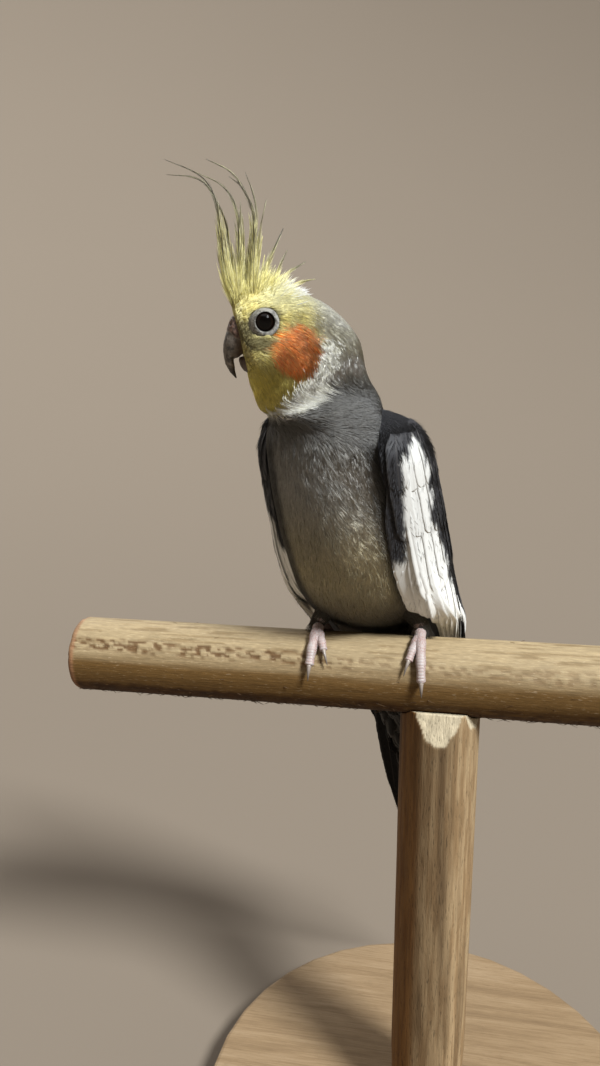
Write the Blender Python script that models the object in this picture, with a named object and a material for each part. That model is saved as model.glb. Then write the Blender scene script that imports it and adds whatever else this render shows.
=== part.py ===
# Cockatiel on a cut length of perch, held by a plain display stand.
# Sizes are in millimetres, and heights are measured from the perch rod's axis until make() lifts them.
import bpy
import bmesh
import numpy as np
from mathutils import Matrix, Vector

MM = 0.001
GAP = 0.3
PARTS = "cockatiel"

# Perch and stand
PERCH_AXIS_HEIGHT = 175.0
PERCH_RADIUS = 12.5
PERCH_LEFT = -124.2
PERCH_RIGHT = 66.0
PERCH_ROUND = 2.4
PERCH_EDGE = 0.8
POST_RADIUS = 12.9
POST_TOP = -9.0
# Whittled flats at the post's top: direction in degrees, depth at the top, height.
POST_CUTS = ((-92, 2.5, 11.0), (-28, 1.4, 7.0))
CUT_SIZE = 30.0
BASE_RADIUS = 80.0
BASE_THICKNESS = 12.0
BASE_ROUND = 1.5

# Bird
BODY_YAW = 15.0
BODY_ORIGIN = (-25.5, 11.0)
BODY_LEAN = -0.075
HEAD_YAW = 74.0
NECK_YAW = 45.0
NECK_CENTRE = (-35.6, -14.5, 87.0)
NECK_HALF = 17.5
NECK_TIP = 3.0
EYE_MIDDLE = (-53.9, -18.9, 109.8)
EYE_RADIUS = 4.2
EYE_OUT = 8.0
LID_OUT = 10.7
LID_RADIUS = 3.75
LID_THICK = 1.0
TOE_RADIUS = 1.75
TOE_POINTS = 8
TOE_TAPER = (1.08, 0.82)
HIP = (3.0, 8.0, 34.0)
ANKLE = (1.5, 2.4)
SHANK_SPOTS = (0, 0.25, 0.6, 1.0)
SHANK_RADII = (2.5, 2.2, 2.3, 2.6)
CLAW_LENGTH = 5.0
CLAW_POINTS = 6
CLAW_DROP = 0.9
CLAW_ARCH = 1.3
CLAW_WIDTH = 0.72
CLAW_TIP = 0.18
VANE_THICK = 0.55

# Trunk stations: back s and z, belly s and z, half width, sideways shift.
TRUNK = [
    (-29, -9, -18, -19, 8.5, 0),
    (-26, 5, -10.5, -8, 14, -1.5),
    (-21.5, 17, -4.5, 6, 17.5, -3),
    (-16.5, 28, 10, 15, 20.2, -3.3),
    (-11, 40, 22.5, 25, 21.3, -2),
    (-5, 52, 31.5, 38, 21.6, -.6),
    (1, 63, 37.5, 52, 21.3, 0),
    (6.5, 73, 41, 66, 20.3, 0),
    (11.5, 82, 42, 78, 18.8, 0),
]
# Head stations: nape s and z, throat s and z, half width.
HEAD = [
    (-29.8, -12, 0.5, -24.5, 16.2),
    (-27.6, -4.5, 2.4, -21.0, 14.8),
    (-22.8, 1.6, 3.4, -18.8, 14.0),
    (-16, 6.3, 3.8, -17.4, 13.6),
    (-8, 9.2, 4.0, -16.5, 13.0),
    (0, 9.8, 4.1, -15.9, 11.6),
    (6, 8.2, 4.2, -15.4, 9.6),
    (8.9, 5, 4.3, -14.9, 7.6),
]
# Wing stations: front edge, middle of the arch, back edge, each s, l, z.
WING = [
    ((30, 20.5, 82), (21, 25, 83.5), (10, 10, 86)),
    ((35, 22, 74), (14.5, 27.5, 74), (0, 6, 74)),
    ((32, 22.5, 64), (7.5, 28.8, 61.5), (-7.5, 5, 59)),
    ((26, 23, 51), (0, 29.3, 47.5), (-14.5, 4.5, 42)),
    ((19, 23.5, 37), (-6, 29.7, 33), (-22, 4, 23)),
    ((9, 24.5, 23), (-14.5, 29.5, 16), (-30.5, 3.5, 5)),
    ((-7.5, 23.5, 10), (-26, 25, -2), (-37, 3, -15)),
    ((-24, 17, -18), (-36, 17.5, -25), (-44, 2.5, -36)),
    ((-44.5, 7, -56), (-47, 6.5, -60), (-50, 2, -62)),
]
# How each wing departs from the stations: front edge back, front edge in, arch in.
WING_FIT = {
    1: ((0, 0, 0), (0, 0, 0.2), (0, 0, 1.2), (0, 0, 2.0), (0, 0, 2.4), (0, 0, 2.5), (0, 0, 1.8)),
    -1: ((7, 1.0, 2.8), (6.5, 0.9, 3.4), (4, 0.8, 2.7), (1.5, 0.6, 1.0)),
}
WING_THICK = 2.0
WING_SHELL_END = 0.8

# Wing tiers: count, first and last root, first and last tip as (u, v), half width, rise at root and tip.
WING_TIERS = (
    (5, (0.50, 0.06), (0.52, 0.60), (0.87, 0.12), (0.995, 0.60), 3.9, (-0.9, 0.1)),
    (6, (0.36, 0.06), (0.36, 0.78), (0.60, 0.06), (0.74, 0.64), 4.9, (-0.9, 0.9)),
    (3, (0.34, 0.80), (0.30, 0.96), (0.74, 0.80), (0.62, 0.99), 4.6, (-0.6, 1.5)),
    (6, (0.25, 0.07), (0.23, 0.93), (0.43, 0.07), (0.43, 0.91), 4.9, (-0.9, 1.2)),
    (5, (0.11, 0.10), (0.09, 0.90), (0.29, 0.12), (0.27, 0.90), 5.4, (-0.9, 1.2)),
    (1, (0.10, 0.02), (0.10, 0.02), (0.32, 0.01), (0.32, 0.01), 2.5, (-0.7, 1.4)),
)

# Tail pairs from the middle outwards: length, distance out at root and tip, half width.
TAIL_ROOT = (-24.5, 0.5, -15.0)
TAIL_TIP = (4.0, 73.0, -141.0)
TAIL_PAIRS = (
    (1.00, 1.0, 1.5, 5.0), (0.83, 3.2, 4.4, 5.2), (0.72, 4.6, 6.2, 5.2),
    (0.63, 5.8, 7.6, 5.0), (0.55, 6.8, 8.8, 4.7), (0.47, 7.6, 9.8, 4.3),
)
TAIL_STEP = 0.5
TAIL_LIFT = 0.4
TAIL_VANE_THICK = 0.5
TAIL_SPOTS = (0.03, 0.2, 0.4, 0.62, 0.84, 1.0)
TAIL_SHAPE = (0.7, 0.95, 1.0, 0.9, 0.66, 0.16)
# Fleshy root under the tail coverts: share of the length, half width, half depth.
TAIL_CORE = ((0.06, 8.6, 3.4), (0.13, 8.4, 2.4), (0.2, 6.0, 1.5))
TAIL_CORE_DROP = 1.6
TAIL_CORE_START = 0.95

# Crest feathers: base s, side, bend s and z, tip s and z, half width.
CREST = (
    (8.3, 0.0, 10.5, 37, 27.0, 43.0, 1.0), (7.6, 1.2, 10.5, 36, 26.5, 38.9, 1.0),
    (6.4, -1.3, 5.5, 33, 20.2, 40.4, 1.2), (5.6, 1.6, 9.0, 22, 9.8, 34.0, 1.4),
    (3.6, 0.2, 0.0, 35, 15.2, 43.5, 1.2), (2.4, -1.8, 0.0, 32, 9.1, 38.6, 1.3),
    (0.4, 0.5, -1.5, 25, 4.2, 41.2, 1.4), (-0.4, 2.0, -1.0, 22, -1.5, 33.1, 1.4),
    (-2.0, -1.0, -2.5, 17, -5.9, 24.8, 1.5), (-3.4, 1.6, -4.0, 15, -8.6, 21.0, 1.5),
    (-6.0, -0.4, -8.5, 14, -12.8, 17.2, 1.5), (-8.6, 0.8, -11.0, 11.5, -15.5, 13.4, 1.4),
)
CREST_SINK = 2.2
CREST_THICK = 0.9
CREST_SHAPE = (0.9, 1.0, 0.85, 0.6, 0.36, 0.2)
CREST_LEAST = 0.25
CREST_SPREAD = 0.3
# Bill sections: crest s and z, under s and z, half width.
BILL_UPPER = (
    (8.75, 1.5, 6.2, -8.6, 4.8), (9.7, -0.6, 6.9, -9.2, 4.5), (10.7, -3.4, 7.6, -9.5, 4.0),
    (11.25, -6.2, 8.3, -9.6, 3.3), (11.2, -9.0, 8.45, -10.2, 2.5), (10.5, -11.6, 8.2, -11.8, 1.7),
    (9.2, -13.7, 7.95, -13.3, 1.0), (7.8, -15.2, 7.6, -14.9, 0.35),
)
BILL_LOWER = (
    (5.9, -9.9, 4.75, -14.7, 3.6), (6.6, -10.1, 5.6, -14.3, 3.1), (7.25, -10.3, 6.6, -13.4, 2.2),
    (7.7, -10.6, 7.3, -12.2, 1.2),
)
NOSTRIL = (9.0, 2.6, -0.3)
NOSTRIL_RADIUS = 0.75

# Toes: name, sideways reach of the tip, start and end angle from the rod's top, size.
TOES = (
    ("inner_front", -3.2, 8, 54, 0.88),
    ("outer_front", 1.0, 2, 80, 1.0),
    ("inner_back", -4.0, -12, -78, 0.85),
    ("outer_back", 2.6, -6, -96, 0.95),
)
# Legs: place along the rod, side, share of the toes' reach round the rod in front.
LEGS = {"left": (-7.2, 1, 1.0), "right": (-40.2, -1, 0.84)}


def heading(yaw):
    """Forward and left directions for a yaw in degrees."""
    a = np.radians(yaw)
    return np.array([-np.sin(a), -np.cos(a), 0.0]), np.array([np.cos(a), -np.sin(a), 0.0])


UP = np.array([0.0, 0.0, 1.0])
BODY_F, BODY_L = heading(BODY_YAW)
HEAD_F, HEAD_L = heading(HEAD_YAW)


def spline(rows, t):
    """Smooth curve through evenly numbered rows."""
    rows = np.asarray(rows, float)
    n = len(rows)
    t = min(max(t, 0.0), n - 1.0)
    i = min(int(t), n - 2)
    f = t - i
    p1, p2 = rows[i], rows[i + 1]
    p0 = rows[i - 1] if i > 0 else 2 * p1 - p2
    p3 = rows[i + 2] if i + 2 < n else 2 * p2 - p1
    slope = (p2 - p0) * f + (2 * p0 - 5 * p1 + 4 * p2 - p3) * f * f
    return p1 + 0.5 * (slope + (3 * p1 - p0 - 3 * p2 + p3) * f ** 3)


def body_point(s, l, z):
    """Body frame to the shared frame, z from the perch axis."""
    shift = l + BODY_LEAN * (z - 35.0)
    flat = np.array([BODY_ORIGIN[0], BODY_ORIGIN[1], 0.0])
    return flat + BODY_F * s + BODY_L * shift + UP * z


def head_point(s, l, z):
    """Head frame to the shared frame, z from the eyes."""
    return np.array(EYE_MIDDLE) + HEAD_F * s + HEAD_L * l + UP * z


def stations():
    """Back point, belly point and half-width vector from rump to forehead."""
    rows = []
    for ds, dz, vs, vz, w, sh in TRUNK:
        rows.append(np.concatenate([body_point(ds, sh, dz), body_point(vs, sh, vz), BODY_L * w]))
    centre = np.array(NECK_CENTRE)
    f, side = heading(NECK_YAW)
    half = f * NECK_HALF - UP * NECK_TIP
    rows.append(np.concatenate([centre - half, centre + half, side * NECK_HALF]))
    for ds, dz, vs, vz, w in HEAD:
        rows.append(np.concatenate([head_point(ds, 0, dz), head_point(vs, 0, vz), HEAD_L * w]))
    return rows


STATIONS = stations()


def ring(t, n=28, push=0.0):
    """One round section of the bird, pushed along its own normal."""
    row = spline(STATIONS, t)
    back, belly, side = row[:3], row[3:6], row[6:9]
    half = (back - belly) / 2
    a = np.linspace(0, 2 * np.pi, n, endpoint=False)
    normal = np.cross(half, side)
    normal = normal / np.linalg.norm(normal)
    ahead = spline(STATIONS, t + 0.05)
    if np.dot(normal, ahead[:3] + ahead[3:6] - back - belly) < 0:
        normal = -normal
    return (back + belly) / 2 + np.outer(np.cos(a), half) + np.outer(np.sin(a), side) + normal * push


def material(name, colour, roughness, metallic=0.0):
    """Plain Principled material."""
    mat = bpy.data.materials.new(name)
    mat.use_nodes = True
    shader = mat.node_tree.nodes["Principled BSDF"]
    shader.inputs["Base Color"].default_value = (*colour, 1.0)
    shader.inputs["Roughness"].default_value = roughness
    shader.inputs["Metallic"].default_value = metallic
    mat.diffuse_color = (*colour, 1.0)
    return mat


def make(name, verts, faces, mat=None):
    """Closed mesh object from points in millimetres about the perch axis."""
    mesh = bpy.data.meshes.new(name)
    mesh.from_pydata([metres(v) for v in verts], [], faces)
    close(mesh)
    return link(name, mesh, mat)


def loft(name, rings, mat=None):
    """Closed solid through rings of equal count, flat at both ends."""
    n = len(rings[0])
    verts = [p for r in rings for p in r]
    faces = []
    for k in range(len(rings) - 1):
        for i in range(n):
            j = (i + 1) % n
            faces.append((k * n + i, k * n + j, (k + 1) * n + j, (k + 1) * n + i))
    faces.append(tuple(range(n)))
    faces.append(tuple((len(rings) - 1) * n + i for i in range(n)))
    return make(name, verts, faces, mat)


def tube(name, points, radii, mat=None, sides=2):
    """Round tapering rod along a curve, as a closed mesh."""
    data = bpy.data.curves.new(name, "CURVE")
    data.dimensions = "3D"
    data.bevel_depth = MM
    data.bevel_resolution = sides
    data.use_fill_caps = True
    line = data.splines.new("POLY")
    line.points.add(len(points) - 1)
    for point, p, r in zip(line.points, points, radii):
        point.co = (p[0] * MM, p[1] * MM, (p[2] + PERCH_AXIS_HEIGHT) * MM, 1.0)
        point.radius = r
    curve = bpy.data.objects.new(name + "_curve", data)
    bpy.context.scene.collection.objects.link(curve)
    bpy.context.view_layer.update()
    graph = bpy.context.evaluated_depsgraph_get()
    mesh = bpy.data.meshes.new_from_object(curve.evaluated_get(graph))
    bpy.data.objects.remove(curve)
    bpy.data.curves.remove(data)
    close(mesh)
    return link(name, mesh, mat)


def close(mesh):
    """Weld, split into triangles and face outwards."""
    bm = bmesh.new()
    bm.from_mesh(mesh)
    bmesh.ops.remove_doubles(bm, verts=bm.verts[:], dist=1e-6)
    bmesh.ops.triangulate(bm, faces=bm.faces[:])
    bmesh.ops.recalc_face_normals(bm, faces=bm.faces[:])
    if bm.calc_volume(signed=True) < 0:
        bmesh.ops.reverse_faces(bm, faces=bm.faces[:])
    bm.to_mesh(mesh)
    bm.free()


def link(name, mesh, mat=None):
    """Object for a mesh, in the bird's collection if it is a finished part."""
    mesh.name = name
    mesh.materials.clear()
    if mat:
        mesh.materials.append(mat)
    obj = bpy.data.objects.new(name, mesh)
    home = bpy.data.collections[PARTS] if mat else bpy.context.scene.collection
    home.objects.link(obj)
    return obj


def vane(name, line, sides, normals, half_widths, thick=VANE_THICK):
    """One feather: a thin blade, keeled along its shaft, following a line on its surface."""
    rings = []
    for p, side, n, w in zip(line, sides, normals, half_widths):
        t = thick * min(1.0, 0.35 + w / 2.5)
        keel = n * (t * 1.35)
        edge = side * w
        rings.append([p - edge, p - edge + n * t * 0.8, p + keel, p + edge + n * t * 0.8, p + edge])
    return loft(name, rings)


def finish(obj, mat):
    """Move a shape to the bird's collection with its material."""
    obj.data.materials.clear()
    obj.data.materials.append(mat)
    for home in list(obj.users_collection):
        home.objects.unlink(obj)
    bpy.data.collections[PARTS].objects.link(obj)
    return obj


def primitive(name, rotation=None):
    """Name the primitive just added and apply its place to its mesh."""
    obj = bpy.context.object
    obj.name = name
    if rotation is not None:
        obj.data.transform(rotation.to_4x4())
    obj.data.transform(Matrix.Translation(obj.location))
    obj.location = (0, 0, 0)
    close(obj.data)
    return obj


def metres(p):
    """Point in millimetres from the perch axis to metres from the floor."""
    return Vector((p[0] * MM, p[1] * MM, (p[2] + PERCH_AXIS_HEIGHT) * MM))


def boolean(obj, tools, kind, solver="EXACT"):
    """Union or cut with a set of objects, applied and tidied."""
    group = bpy.data.collections.new("tools")
    for tool in tools:
        group.objects.link(tool)
    mod = obj.modifiers.new(kind, "BOOLEAN")
    mod.operation = kind
    mod.operand_type = "COLLECTION"
    mod.collection = group
    mod.solver = solver
    bpy.context.view_layer.update()
    graph = bpy.context.evaluated_depsgraph_get()
    mesh = bpy.data.meshes.new_from_object(obj.evaluated_get(graph))
    obj.modifiers.clear()
    old = obj.data
    obj.data = mesh
    bpy.data.meshes.remove(old)
    for tool in list(group.objects):
        data = tool.data
        bpy.data.objects.remove(tool)
        bpy.data.meshes.remove(data)
    bpy.data.collections.remove(group)
    keep_largest(obj)


def keep_largest(obj):
    """Keep the biggest closed surface and weld its seams."""
    bm = bmesh.new()
    bm.from_mesh(obj.data)
    bmesh.ops.remove_doubles(bm, verts=bm.verts[:], dist=1e-7)
    bmesh.ops.dissolve_degenerate(bm, edges=bm.edges[:], dist=1e-7)
    bmesh.ops.triangulate(bm, faces=bm.faces[:])
    bm.verts.ensure_lookup_table()
    seen, groups = set(), []
    for vert in bm.verts:
        if vert in seen:
            continue
        seen.add(vert)
        stack, island = [vert], []
        while stack:
            v = stack.pop()
            island.append(v)
            for e in v.link_edges:
                o = e.other_vert(v)
                if o not in seen:
                    seen.add(o)
                    stack.append(o)
        groups.append(island)

    def span(island):
        pts = np.array([v.co[:] for v in island])
        return float(np.linalg.norm(pts.max(0) - pts.min(0)))

    groups.sort(key=span, reverse=True)
    loose = [v for g in groups[1:] for v in g]
    bmesh.ops.delete(bm, geom=loose, context="VERTS")
    bm.to_mesh(obj.data)
    bm.free()


def wing_rows(side):
    """Wing stations of one side."""
    rows = []
    for k, row in enumerate(WING):
        pts = [list(p) for p in row]
        if k < len(WING_FIT[side]):
            back, front_in, arch_in = WING_FIT[side][k]
            pts[0][0] -= back
            pts[0][1] -= front_in
            pts[1][1] -= arch_in
        rows.append(np.concatenate([np.array(p, float) for p in pts]))
    return rows


WING_ROWS = {1: wing_rows(1), -1: wing_rows(-1)}


def wing_at(side, u, v):
    """Point of the folded wing's outer face, u down its length, v front to back."""
    row = spline(WING_ROWS[side], u * (len(WING) - 1))
    a, m, c = row[:3], row[3:6], row[6:9]
    p = 2 * m - (a + c) / 2
    q = (1 - v) ** 2 * a + 2 * v * (1 - v) * p + v * v * c
    return body_point(q[0], side * q[1], q[2])


def wing_normal(side, u, v):
    """Outward normal of the wing's outer face."""
    e = 0.01
    du = wing_at(side, min(u + e, 1), v) - wing_at(side, max(u - e, 0), v)
    dv = wing_at(side, u, min(v + e, 1)) - wing_at(side, u, max(v - e, 0))
    n = np.cross(du, dv) * side
    return n / np.linalg.norm(n)


def wing_shell(name, side, nu=11, nv=6):
    """Thin closed core of the folded wing, under its feathers."""
    rings = []
    for i in range(nu + 1):
        u = WING_SHELL_END * i / nu
        out, inn = [], []
        for j in range(nv + 1):
            v = j / nv
            p, n = wing_at(side, u, v), wing_normal(side, u, v)
            edge = min(v, 1 - v, i / nu * 1.5, (1 - i / nu) * 1.5)
            t = 0.6 + (WING_THICK - 0.6) * min(edge / 0.2, 1.0)
            out.append(p - n * 0.05)
            inn.append(p - n * t)
        rings.append(out + inn[::-1])
    return loft(name, rings)


def wing_vane(side, root, tip, half, rise):
    """Feather lying along the wing between two places on it, rising from root to tip."""
    line, sides, normals, widths = [], [], [], []
    shape = (0.66, 0.96, 1.0, 0.8, 0.22)
    spots = (0.0, 0.3, 0.62, 0.9, 1.0)
    for f, w in zip(spots, shape):
        u = root[0] + (tip[0] - root[0]) * f
        v = root[1] + (tip[1] - root[1]) * f
        p, nrm = wing_at(side, u, v), wing_normal(side, u, v)
        line.append(p + nrm * (rise[0] + (rise[1] - rise[0]) * f))
        normals.append(nrm)
        widths.append(half * w)
    last = len(spots) - 1
    for k in range(last + 1):
        t = line[min(k + 1, last)] - line[max(k - 1, 0)]
        s = np.cross(normals[k], t)
        sides.append(s / np.linalg.norm(s))
    return vane("vane", line, sides, normals, widths)


def mix(a, b, f):
    """Value part way between two."""
    return tuple(x + (y - x) * f for x, y in zip(a, b))


def build_wing(name, side, mat):
    """Folded wing: core shell with primaries, secondaries, tertials, coverts and alula in tiers."""
    core = wing_shell(name, side)
    vanes = []
    for count, root_a, root_b, tip_a, tip_b, half, rise in WING_TIERS:
        for k in range(count):
            f = k / max(count - 1, 1)
            step = 0.12 * (k % 2)
            lift = (rise[0], rise[1] + step)
            vanes.append(wing_vane(side, mix(root_a, root_b, f), mix(tip_a, tip_b, f), half, lift))
    boolean(core, vanes, "UNION")
    return finish(core, mat)


def clear_scene():
    """Start from nothing but the bird's own collection."""
    for obj in list(bpy.data.objects):
        bpy.data.objects.remove(obj)
    bpy.context.scene.collection.children.link(bpy.data.collections.new(PARTS))


def build_trunk(mats):
    """Torso, neck and head as one whole, parted by thin flat cuts."""
    cuts = (8.45, 9.55)
    last = len(STATIONS) - 1.0

    def part(a, b):
        steps = max(2, int(round((b - a) / 0.5)))
        rows = [ring(a, push=GAP if a > 0 else 0.0)]
        rows += [ring(a + (b - a) * k / steps) for k in range(1, steps + 1)]
        return rows

    torso = loft("torso", part(0.0, cuts[0]), mats["body"])
    loft("neck", part(cuts[0], cuts[1]), mats["body"])
    head = loft("head", part(cuts[1], last), mats["face"])
    return torso, head


def sideways():
    """Turn that lays a shape's own axis across the head."""
    return Matrix([HEAD_F, UP, HEAD_L]).transposed()


def sphere(name, centre, radius):
    """Ball with its poles out to the sides of the head."""
    bpy.ops.mesh.primitive_uv_sphere_add(segments=18, ring_count=10, radius=radius * MM,
                                         location=metres(centre))
    return primitive(name, sideways())


def build_eyes(head, mats):
    """Eyeballs in sockets, each with a raised lid ring."""
    lids, sockets = [], []
    for side, name in ((1, "eye_left"), (-1, "eye_right")):
        centre = head_point(0, side * EYE_OUT, 0)
        bpy.ops.mesh.primitive_torus_add(major_radius=LID_RADIUS * MM, minor_radius=LID_THICK * MM,
                                         major_segments=18, minor_segments=6,
                                         location=metres(head_point(0, side * LID_OUT, 0)))
        lids.append(primitive("lid", sideways()))
        sockets.append(sphere("socket", centre, EYE_RADIUS + GAP))
        finish(sphere(name, centre, EYE_RADIUS), mats["eye"])
    boolean(head, lids, "UNION")
    boolean(head, sockets, "DIFFERENCE")


def bill_rings(rows, n=16):
    """Sections of a bill half from crest and under points with half widths."""
    rings = []
    a = np.linspace(0, 2 * np.pi, n, endpoint=False)
    for ds, dz, vs, vz, w in rows:
        d, v = head_point(ds, 0, dz), head_point(vs, 0, vz)
        rings.append((d + v) / 2 + np.outer(np.cos(a), (d - v) / 2) + np.outer(np.sin(a), HEAD_L * w))
    return rings


def build_bill(mats):
    """Short hooked upper bill with nostrils over a cupped lower one."""
    upper = loft("bill_upper", bill_rings(BILL_UPPER), mats["bill"])
    pits = []
    for side in (1, -1):
        centre = head_point(NOSTRIL[0], side * NOSTRIL[1], NOSTRIL[2])
        bpy.ops.mesh.primitive_uv_sphere_add(segments=8, ring_count=5, radius=NOSTRIL_RADIUS * MM,
                                             location=metres(centre))
        pits.append(primitive("nostril"))
    boolean(upper, pits, "DIFFERENCE")
    loft("bill_lower", bill_rings(BILL_LOWER), mats["bill"])


def build_crest(head):
    """Crest feathers, each its own curved blade rooted in the crown."""
    feathers = []
    for base_s, out, bend_s, bend_z, tip_s, tip_z, half in CREST:
        base = np.array([base_s, crown_height(base_s) - CREST_SINK])
        bend, tip = np.array([bend_s, bend_z]), np.array([tip_s, tip_z])
        line, widths = [], []
        last = len(CREST_SHAPE) - 1
        for k, share in enumerate(CREST_SHAPE):
            f = k / last
            q = (1 - f) ** 2 * base + 2 * f * (1 - f) * bend + f * f * tip
            line.append(head_point(q[0], out * (1 + CREST_SPREAD * f), q[1]))
            widths.append(max(half * share, CREST_LEAST))
        normals, sides = [], []
        for k in range(last + 1):
            t = line[min(k + 1, last)] - line[max(k - 1, 0)]
            s = np.cross(HEAD_L, t)
            sides.append(s / np.linalg.norm(s))
            normals.append(HEAD_L)
        feathers.append(vane("crest_feather", line, sides, normals, widths, CREST_THICK))
    boolean(head, feathers, "UNION")


def crown_height(s):
    """Height of the crown's middle line at a place along the head."""
    line = [(row[0], row[1]) for row in HEAD]
    return float(np.interp(s, [p[0] for p in line], [p[1] for p in line]))


def toe_path(x0, x1, start, end, radius):
    """Toe line lying round the perch, angles in degrees from the top, forward positive."""
    pts = []
    r = PERCH_RADIUS + radius + GAP
    for k in range(TOE_POINTS):
        f = k / (TOE_POINTS - 1)
        a = np.radians(start + (end - start) * f)
        pts.append(np.array([x0 + (x1 - x0) * f, -r * np.sin(a), r * np.cos(a)]))
    return pts


def build_legs(torso, mats):
    """Legs gripping the perch, two toes forward and two back, with shanks up into the belly."""
    sockets = []
    for name, (x, side, grip) in LEGS.items():
        out, back, up = HIP
        hip = np.array([x - side * out, back, up])
        ankle = np.array([x, ANKLE[0], PERCH_RADIUS + GAP + ANKLE[1]])
        line = [ankle + (hip - ankle) * f for f in SHANK_SPOTS]
        leg = tube("leg_" + name, line, SHANK_RADII, mats["skin"])
        hole = line[:-1] + [hip + (hip - ankle) * 0.05]
        sockets.append(tube("socket", hole, [r + GAP * 1.2 for r in SHANK_RADII]))
        toes = []
        for toe, reach, start, end, size in TOES:
            r = TOE_RADIUS * size
            end = start + (end - start) * grip if end > 0 else end
            path = toe_path(x, x + side * reach, start, end, r)
            radii = list(r * np.linspace(*TOE_TAPER, TOE_POINTS))
            toes.append(tube("toe", path, radii, sides=1))
            build_claw("claw_" + name + "_" + toe, path, radii[-1], mats["claw"])
        boolean(leg, toes, "UNION")
    boolean(torso, sockets, "DIFFERENCE")


def build_claw(name, toe, r, mat):
    """Curved claw beyond the toe's flat end."""
    t = toe[-1] - toe[-2]
    t = t / np.linalg.norm(t)
    inward = -np.array([0.0, toe[-1][1], toe[-1][2]])
    inward = inward / np.linalg.norm(inward)
    start = toe[-1] + t * GAP
    pts, radii = [], []
    for k in range(CLAW_POINTS):
        f = k / (CLAW_POINTS - 1)
        sink = CLAW_DROP * f * f - CLAW_ARCH * f * (1 - f)
        pts.append(start + t * (CLAW_LENGTH * f) + inward * sink)
        radii.append(r * CLAW_WIDTH * (1 - f) ** 0.8 + CLAW_TIP)
    tube(name, pts, radii, mat, sides=1)


def build_tail(mats):
    """Long graduated tail of twelve feathers on a short root."""
    root = body_point(*TAIL_ROOT)
    tip = np.array(TAIL_TIP)
    along = (tip - root) / np.linalg.norm(tip - root)
    length = np.linalg.norm(tip - root)
    out = np.cross(along, UP)
    out = out / np.linalg.norm(out)
    up = np.cross(out, along)
    if up[1] < 0:
        up = -up
    n = 12
    a = np.linspace(0, 2 * np.pi, n, endpoint=False)
    cap = ring(0.0, n, -GAP)
    rings = [cap.mean(0) + (cap - cap.mean(0)) * TAIL_CORE_START]
    for f, wide, deep in TAIL_CORE:
        centre = root + along * length * f - up * TAIL_CORE_DROP
        rings.append(centre - np.outer(np.cos(a) * deep, up) - np.outer(np.sin(a) * wide, out))
    half, quarter = n // 2, n // 4
    if np.dot(rings[0][0] - rings[0][half], rings[1][0] - rings[1][half]) < 0:
        rings[1:] = [np.roll(r, half, axis=0) for r in rings[1:]]
    if np.dot(rings[0][quarter] - rings[0][-quarter], rings[1][quarter] - rings[1][-quarter]) < 0:
        rings[1:] = [np.roll(r[::-1], 1, axis=0) for r in rings[1:]]
    core = loft("tail", rings)
    vanes = []
    count = len(TAIL_SPOTS)
    for pair, (reach, near, far, half) in enumerate(TAIL_PAIRS):
        for side in (1, -1):
            under = pair if pair else (0.5 if side > 0 else 0)
            level = TAIL_LIFT - TAIL_STEP * (under + (1 if pair else 0))
            line, widths = [], []
            for f, w in zip(TAIL_SPOTS, TAIL_SHAPE):
                spread = side * (near + (far - near) * f)
                line.append(root + along * length * f * reach + out * spread + up * level)
                widths.append(half * w)
            vanes.append(vane("vane", line, [out] * count, [up] * count, widths, TAIL_VANE_THICK))
    boolean(core, vanes, "UNION")
    finish(core, mats["tail"])


def rim(obj, test, width, segments):
    """Round off the edges that pass a test on their two ends."""
    bm = bmesh.new()
    bm.from_mesh(obj.data)
    bmesh.ops.dissolve_limit(bm, angle_limit=0.01, verts=bm.verts[:], edges=bm.edges[:])
    edges = [e for e in bm.edges if test(e.verts[0].co) and test(e.verts[1].co)]
    bmesh.ops.bevel(bm, geom=edges, offset=width * MM, segments=segments, affect="EDGES", profile=0.5)
    bm.to_mesh(obj.data)
    bm.free()
    close(obj.data)


def cylinder(name, centre, radius, length, axis="Z"):
    """Round rod about a centre, along X or Z."""
    turn = Matrix.Rotation(np.pi / 2, 3, "Y") if axis == "X" else None
    bpy.ops.mesh.primitive_cylinder_add(vertices=36, radius=radius * MM, depth=length * MM,
                                        location=metres(centre))
    return primitive(name, turn)


def whittle(direction, deep, tall):
    """Block that cuts a sloping flat into the post's top edge."""
    turn, tilt = np.radians(direction), np.arctan2(deep, tall)
    out = np.array([np.cos(turn), np.sin(turn), 0.0])
    face = out * np.cos(tilt) + UP * np.sin(tilt)
    centre = out * (POST_RADIUS - deep) + UP * POST_TOP + face * CUT_SIZE / 2
    bpy.ops.mesh.primitive_cube_add(size=CUT_SIZE * MM, location=metres(centre))
    return primitive("cut", Matrix.Rotation(turn, 3, "Z") @ Matrix.Rotation(-tilt, 3, "Y"))


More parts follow.
